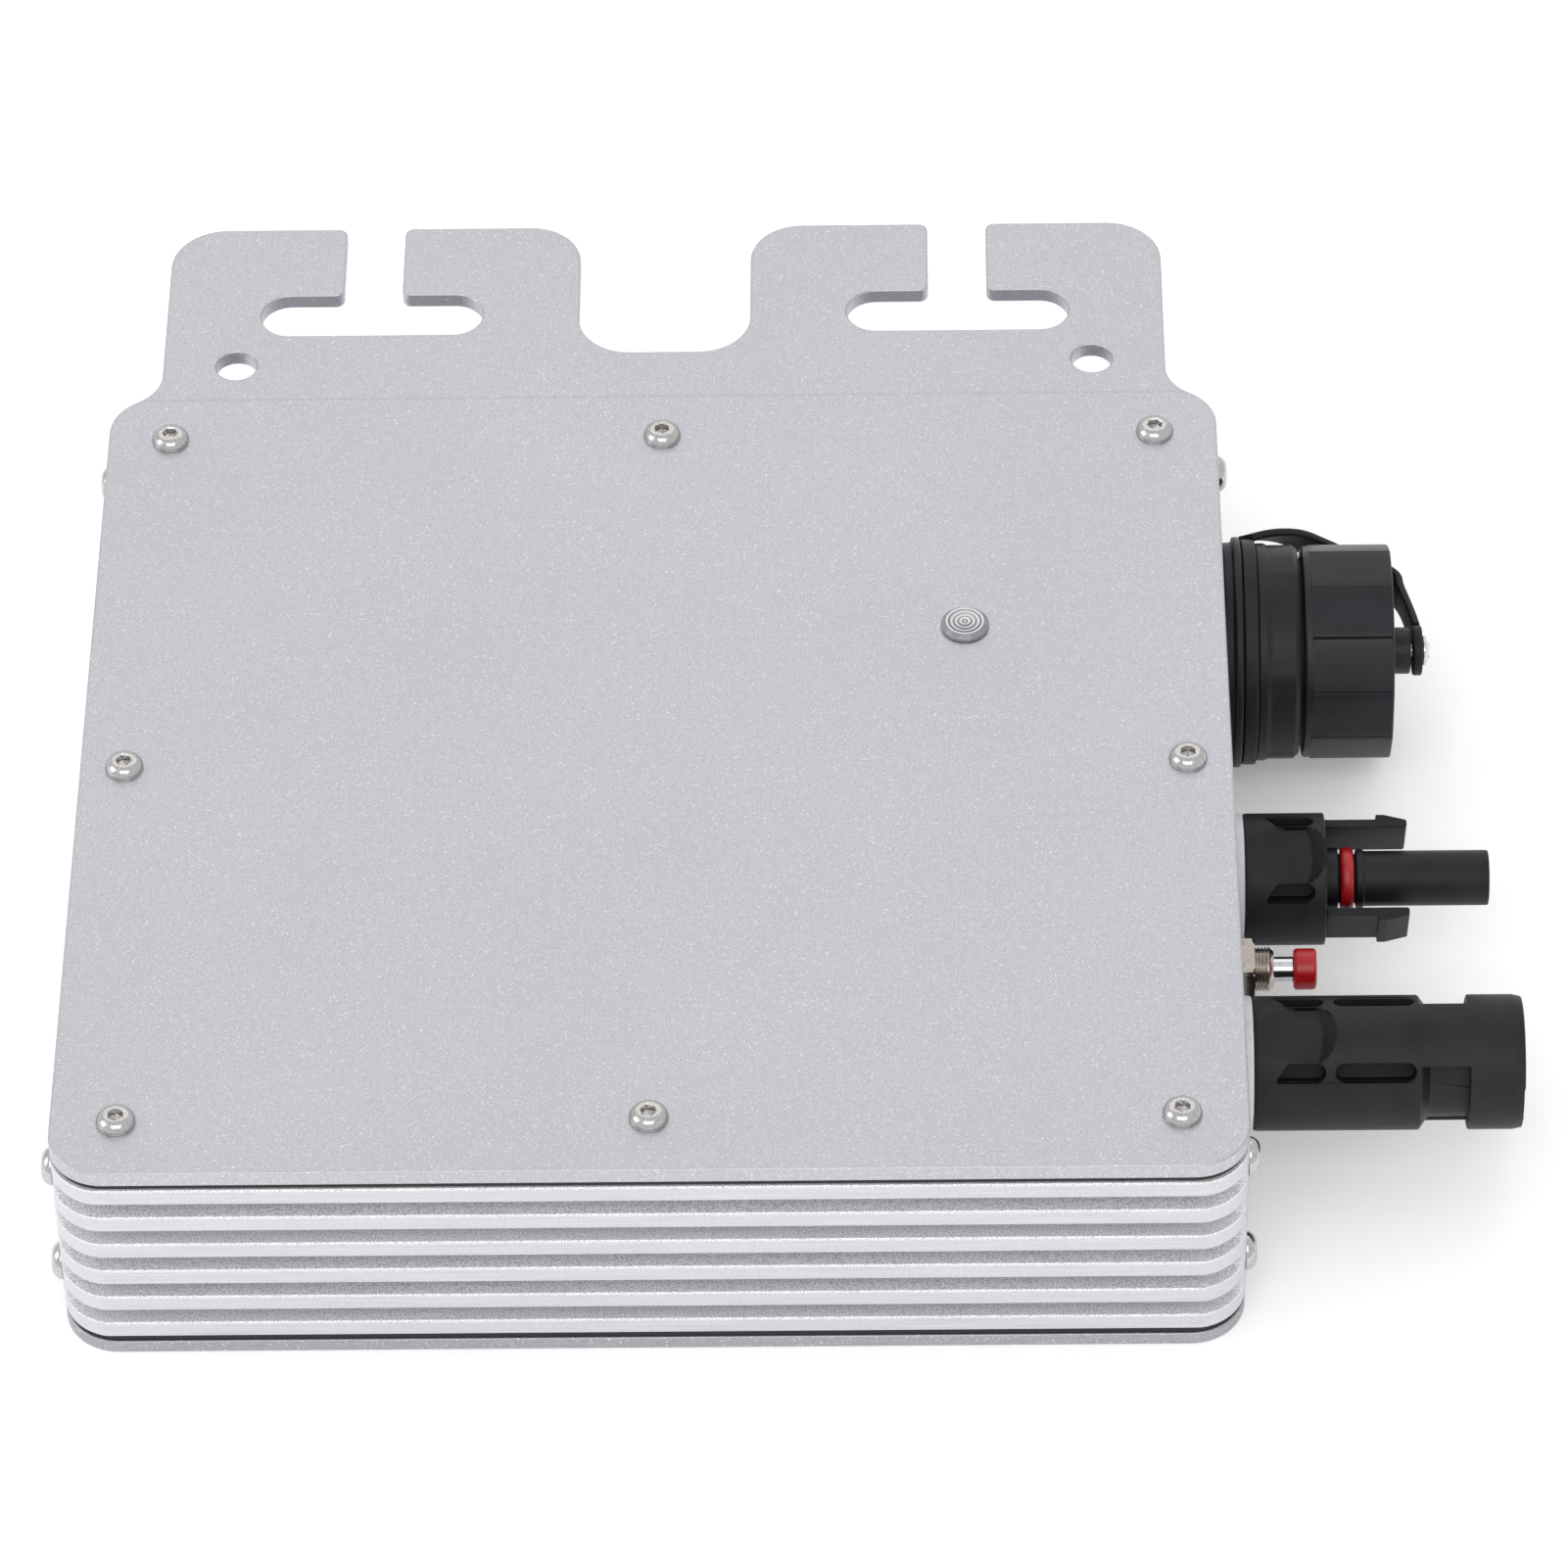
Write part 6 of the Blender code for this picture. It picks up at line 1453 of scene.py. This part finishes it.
def moulded_or_wound(name, dark, light, roughness, size, bands=None, **values):
    """A surface mottled over a few millimetres, with fine bands along one axis if asked."""
    look, tree, shader = surface(name, **values)
    place = add(tree, "ShaderNodeTexCoord").outputs["Object"]
    mottle = add(tree, "ShaderNodeTexNoise", {"Vector": place, "Scale": 1 / size,
                                              "Detail": 4.0}).outputs["Fac"]
    height = mottle
    if bands:
        wires = add(tree, "ShaderNodeTexWave", {"Vector": place, "Scale": TURN / 20 / bands[1],
                                                "Distortion": 0.4}, bands_direction=bands[0])
        height = add(tree, "ShaderNodeMix", {0: 0.75, 2: mottle,
                                             3: wires.outputs["Fac"]}).outputs[0]
    tone = add(tree, "ShaderNodeMix", {0: height, 6: linear(dark), 7: linear(light)},
               data_type="RGBA").outputs[2]
    rough = add(tree, "ShaderNodeMapRange", {"Value": mottle, "To Min": roughness - 0.07,
                                             "To Max": roughness + 0.07})
    bump = add(tree, "ShaderNodeBump", {"Height": height, "Strength": 0.5,
                                        "Distance": 0.1 * MM})
    connect(tree, shader, Base_Color=tone, Roughness=rough.outputs["Result"],
            Normal=bump.outputs["Normal"])
    return look


carried = {
    # Solder mask: glossy green lacquer over fine traces.
    moulded_or_wound("solder_mask_on_glass_epoxy", "#0C3A1C", "#14562B", 0.3, 3 * MM):
        ["main_board"],
    # Sintered ferrite: dull dark grey, slightly speckled.
    moulded_or_wound("ferrite_sintered", "#1C1D20", "#313337", 0.6, 0.6 * MM):
        ["transformer_core"],
    # Enamelled copper wire laid in even turns.
    moulded_or_wound("enamelled_copper_wound", "#6E3216", "#B9643A", 0.3, 2 * MM,
                     ("Z", 0.8 * MM), Metallic=1.0): ["transformer_winding", "output_choke"],
    # PVC sleeve shrunk over an aluminium can.
    moulded_or_wound("pvc_shrink_sleeve", "#10131F", "#1D2336", 0.3, 2 * MM):
        ["input_capacitor_1", "input_capacitor_2"],
    # Film capacitor case: filled epoxy, slightly grainy.
    moulded_or_wound("polyester_box_case", "#8A6A1C", "#A8842A", 0.4, 1 * MM):
        ["film_capacitor"],
    # Transistor packages: matt black epoxy with a clamp bar across them.
    moulded_or_wound("epoxy_package_matt", "#131315", "#242427", 0.5, 0.8 * MM):
        ["power_transistors"],
    # Plain nylon nuts behind the panel.
    moulded_or_wound("nylon_nut_moulded", "#18181A", "#29292C", 0.45, 1 * MM):
        ["ac_locknut", "dc_plug_nut", "dc_socket_nut"],
    # The AC contact carrier: unfilled nylon, a little glossier than the receptacle.
    moulded_or_wound("nylon_insert_moulded", "#1C1D20", "#2C2E32", 0.38, 1 * MM):
        ["ac_contact_insert"],
    # The cap's seal: soft black rubber.
    moulded_or_wound("nitrile_rubber_moulded", "#141416", "#29292C", 0.7, 0.8 * MM):
        ["ac_cap_seal"],
}
for look, nodes in carried.items():
    for node in nodes:
        for place_in_list in bpy.data.objects[node].material_slots:
            place_in_list.material = look

# --- Stage, light and camera --------------------------------------------------------------------
# A white sweep under soft studio light: a broad panel in front, one behind for the cover to
# mirror, a side panel on the left, and a darker right side that gives the screws their contrast.

AIM = Vector((18.85, -0.7, 34.0)) * MM
DISTANCE = 1.25
AZIMUTH = math.radians(1.071)
ELEVATION = math.radians(44.93)
ROLL = math.radians(-1.25)
LENS_LENGTH = 194.4


def soft_light(name, spot, width, height, watts):
    """A rectangular panel light that faces the object."""
    lamp = bpy.data.lights.new(name, "AREA")
    lamp.shape = "RECTANGLE"
    lamp.size = width
    lamp.size_y = height
    lamp.energy = watts
    item = bpy.data.objects.new(name, lamp)
    bpy.context.scene.collection.objects.link(item)
    item.location = spot
    item.rotation_euler = (AIM - Vector(spot)).to_track_quat("-Z", "Y").to_euler()


paper, tree, shader = surface("white_paper_sweep", Roughness=0.9, Specular_IOR_Level=0.1,
                               Emission_Strength=0.2)
place = add(tree, "ShaderNodeTexCoord").outputs["Object"]
fibre = add(tree, "ShaderNodeTexNoise", {"Vector": place, "Scale": 300.0,
                                         "Detail": 3.0}).outputs["Fac"]
tone = add(tree, "ShaderNodeMix", {0: fibre, 6: linear("#F9F9F9"), 7: linear("#FEFEFE")},
           data_type="RGBA").outputs[2]
connect(tree, shader, Base_Color=tone, Emission_Color=tone)
floor_mesh = bmesh.new()
corners = [floor_mesh.verts.new((x, y, -0.02 * MM)) for x, y in
           ((-4, -4), (4, -4), (4, 4), (-4, 4))]
floor_mesh.faces.new(corners)
floor_data = bpy.data.meshes.new("paper_sweep")
floor_mesh.to_mesh(floor_data)
floor_mesh.free()
floor_data.materials.append(paper)
floor = bpy.data.objects.new("paper_sweep", floor_data)
bpy.context.scene.collection.objects.link(floor)

soft_light("front_panel", (0.0, -0.95, 1.25), 1.3, 0.8, 5.2)
soft_light("rear_panel", (0.0, 1.0, 1.1), 1.5, 0.8, 1.8)
soft_light("left_panel", (-1.15, -0.1, 0.7), 0.7, 0.9, 2.6)

world = bpy.data.worlds.new("studio")
bpy.context.scene.world = world
world.use_nodes = True
background = world.node_tree.nodes["Background"]
background.inputs["Color"].default_value = (1, 1, 1, 1)
background.inputs["Strength"].default_value = 0.82

camera_data = bpy.data.cameras.new("camera")
camera_data.lens = LENS_LENGTH
camera_data.clip_start = 0.01
camera = bpy.data.objects.new("camera", camera_data)
bpy.context.scene.collection.objects.link(camera)
back = Vector((math.sin(AZIMUTH) * math.cos(ELEVATION), -math.cos(AZIMUTH) * math.cos(ELEVATION),
               math.sin(ELEVATION)))
upright = (-back).to_track_quat("-Z", "Y").to_matrix().to_4x4()
camera.matrix_world = (Matrix.Translation(AIM + back * DISTANCE) @ upright
                       @ Matrix.Rotation(ROLL, 4, "Z"))
bpy.context.scene.camera = camera
bpy.context.scene.view_settings.view_transform = "Standard"
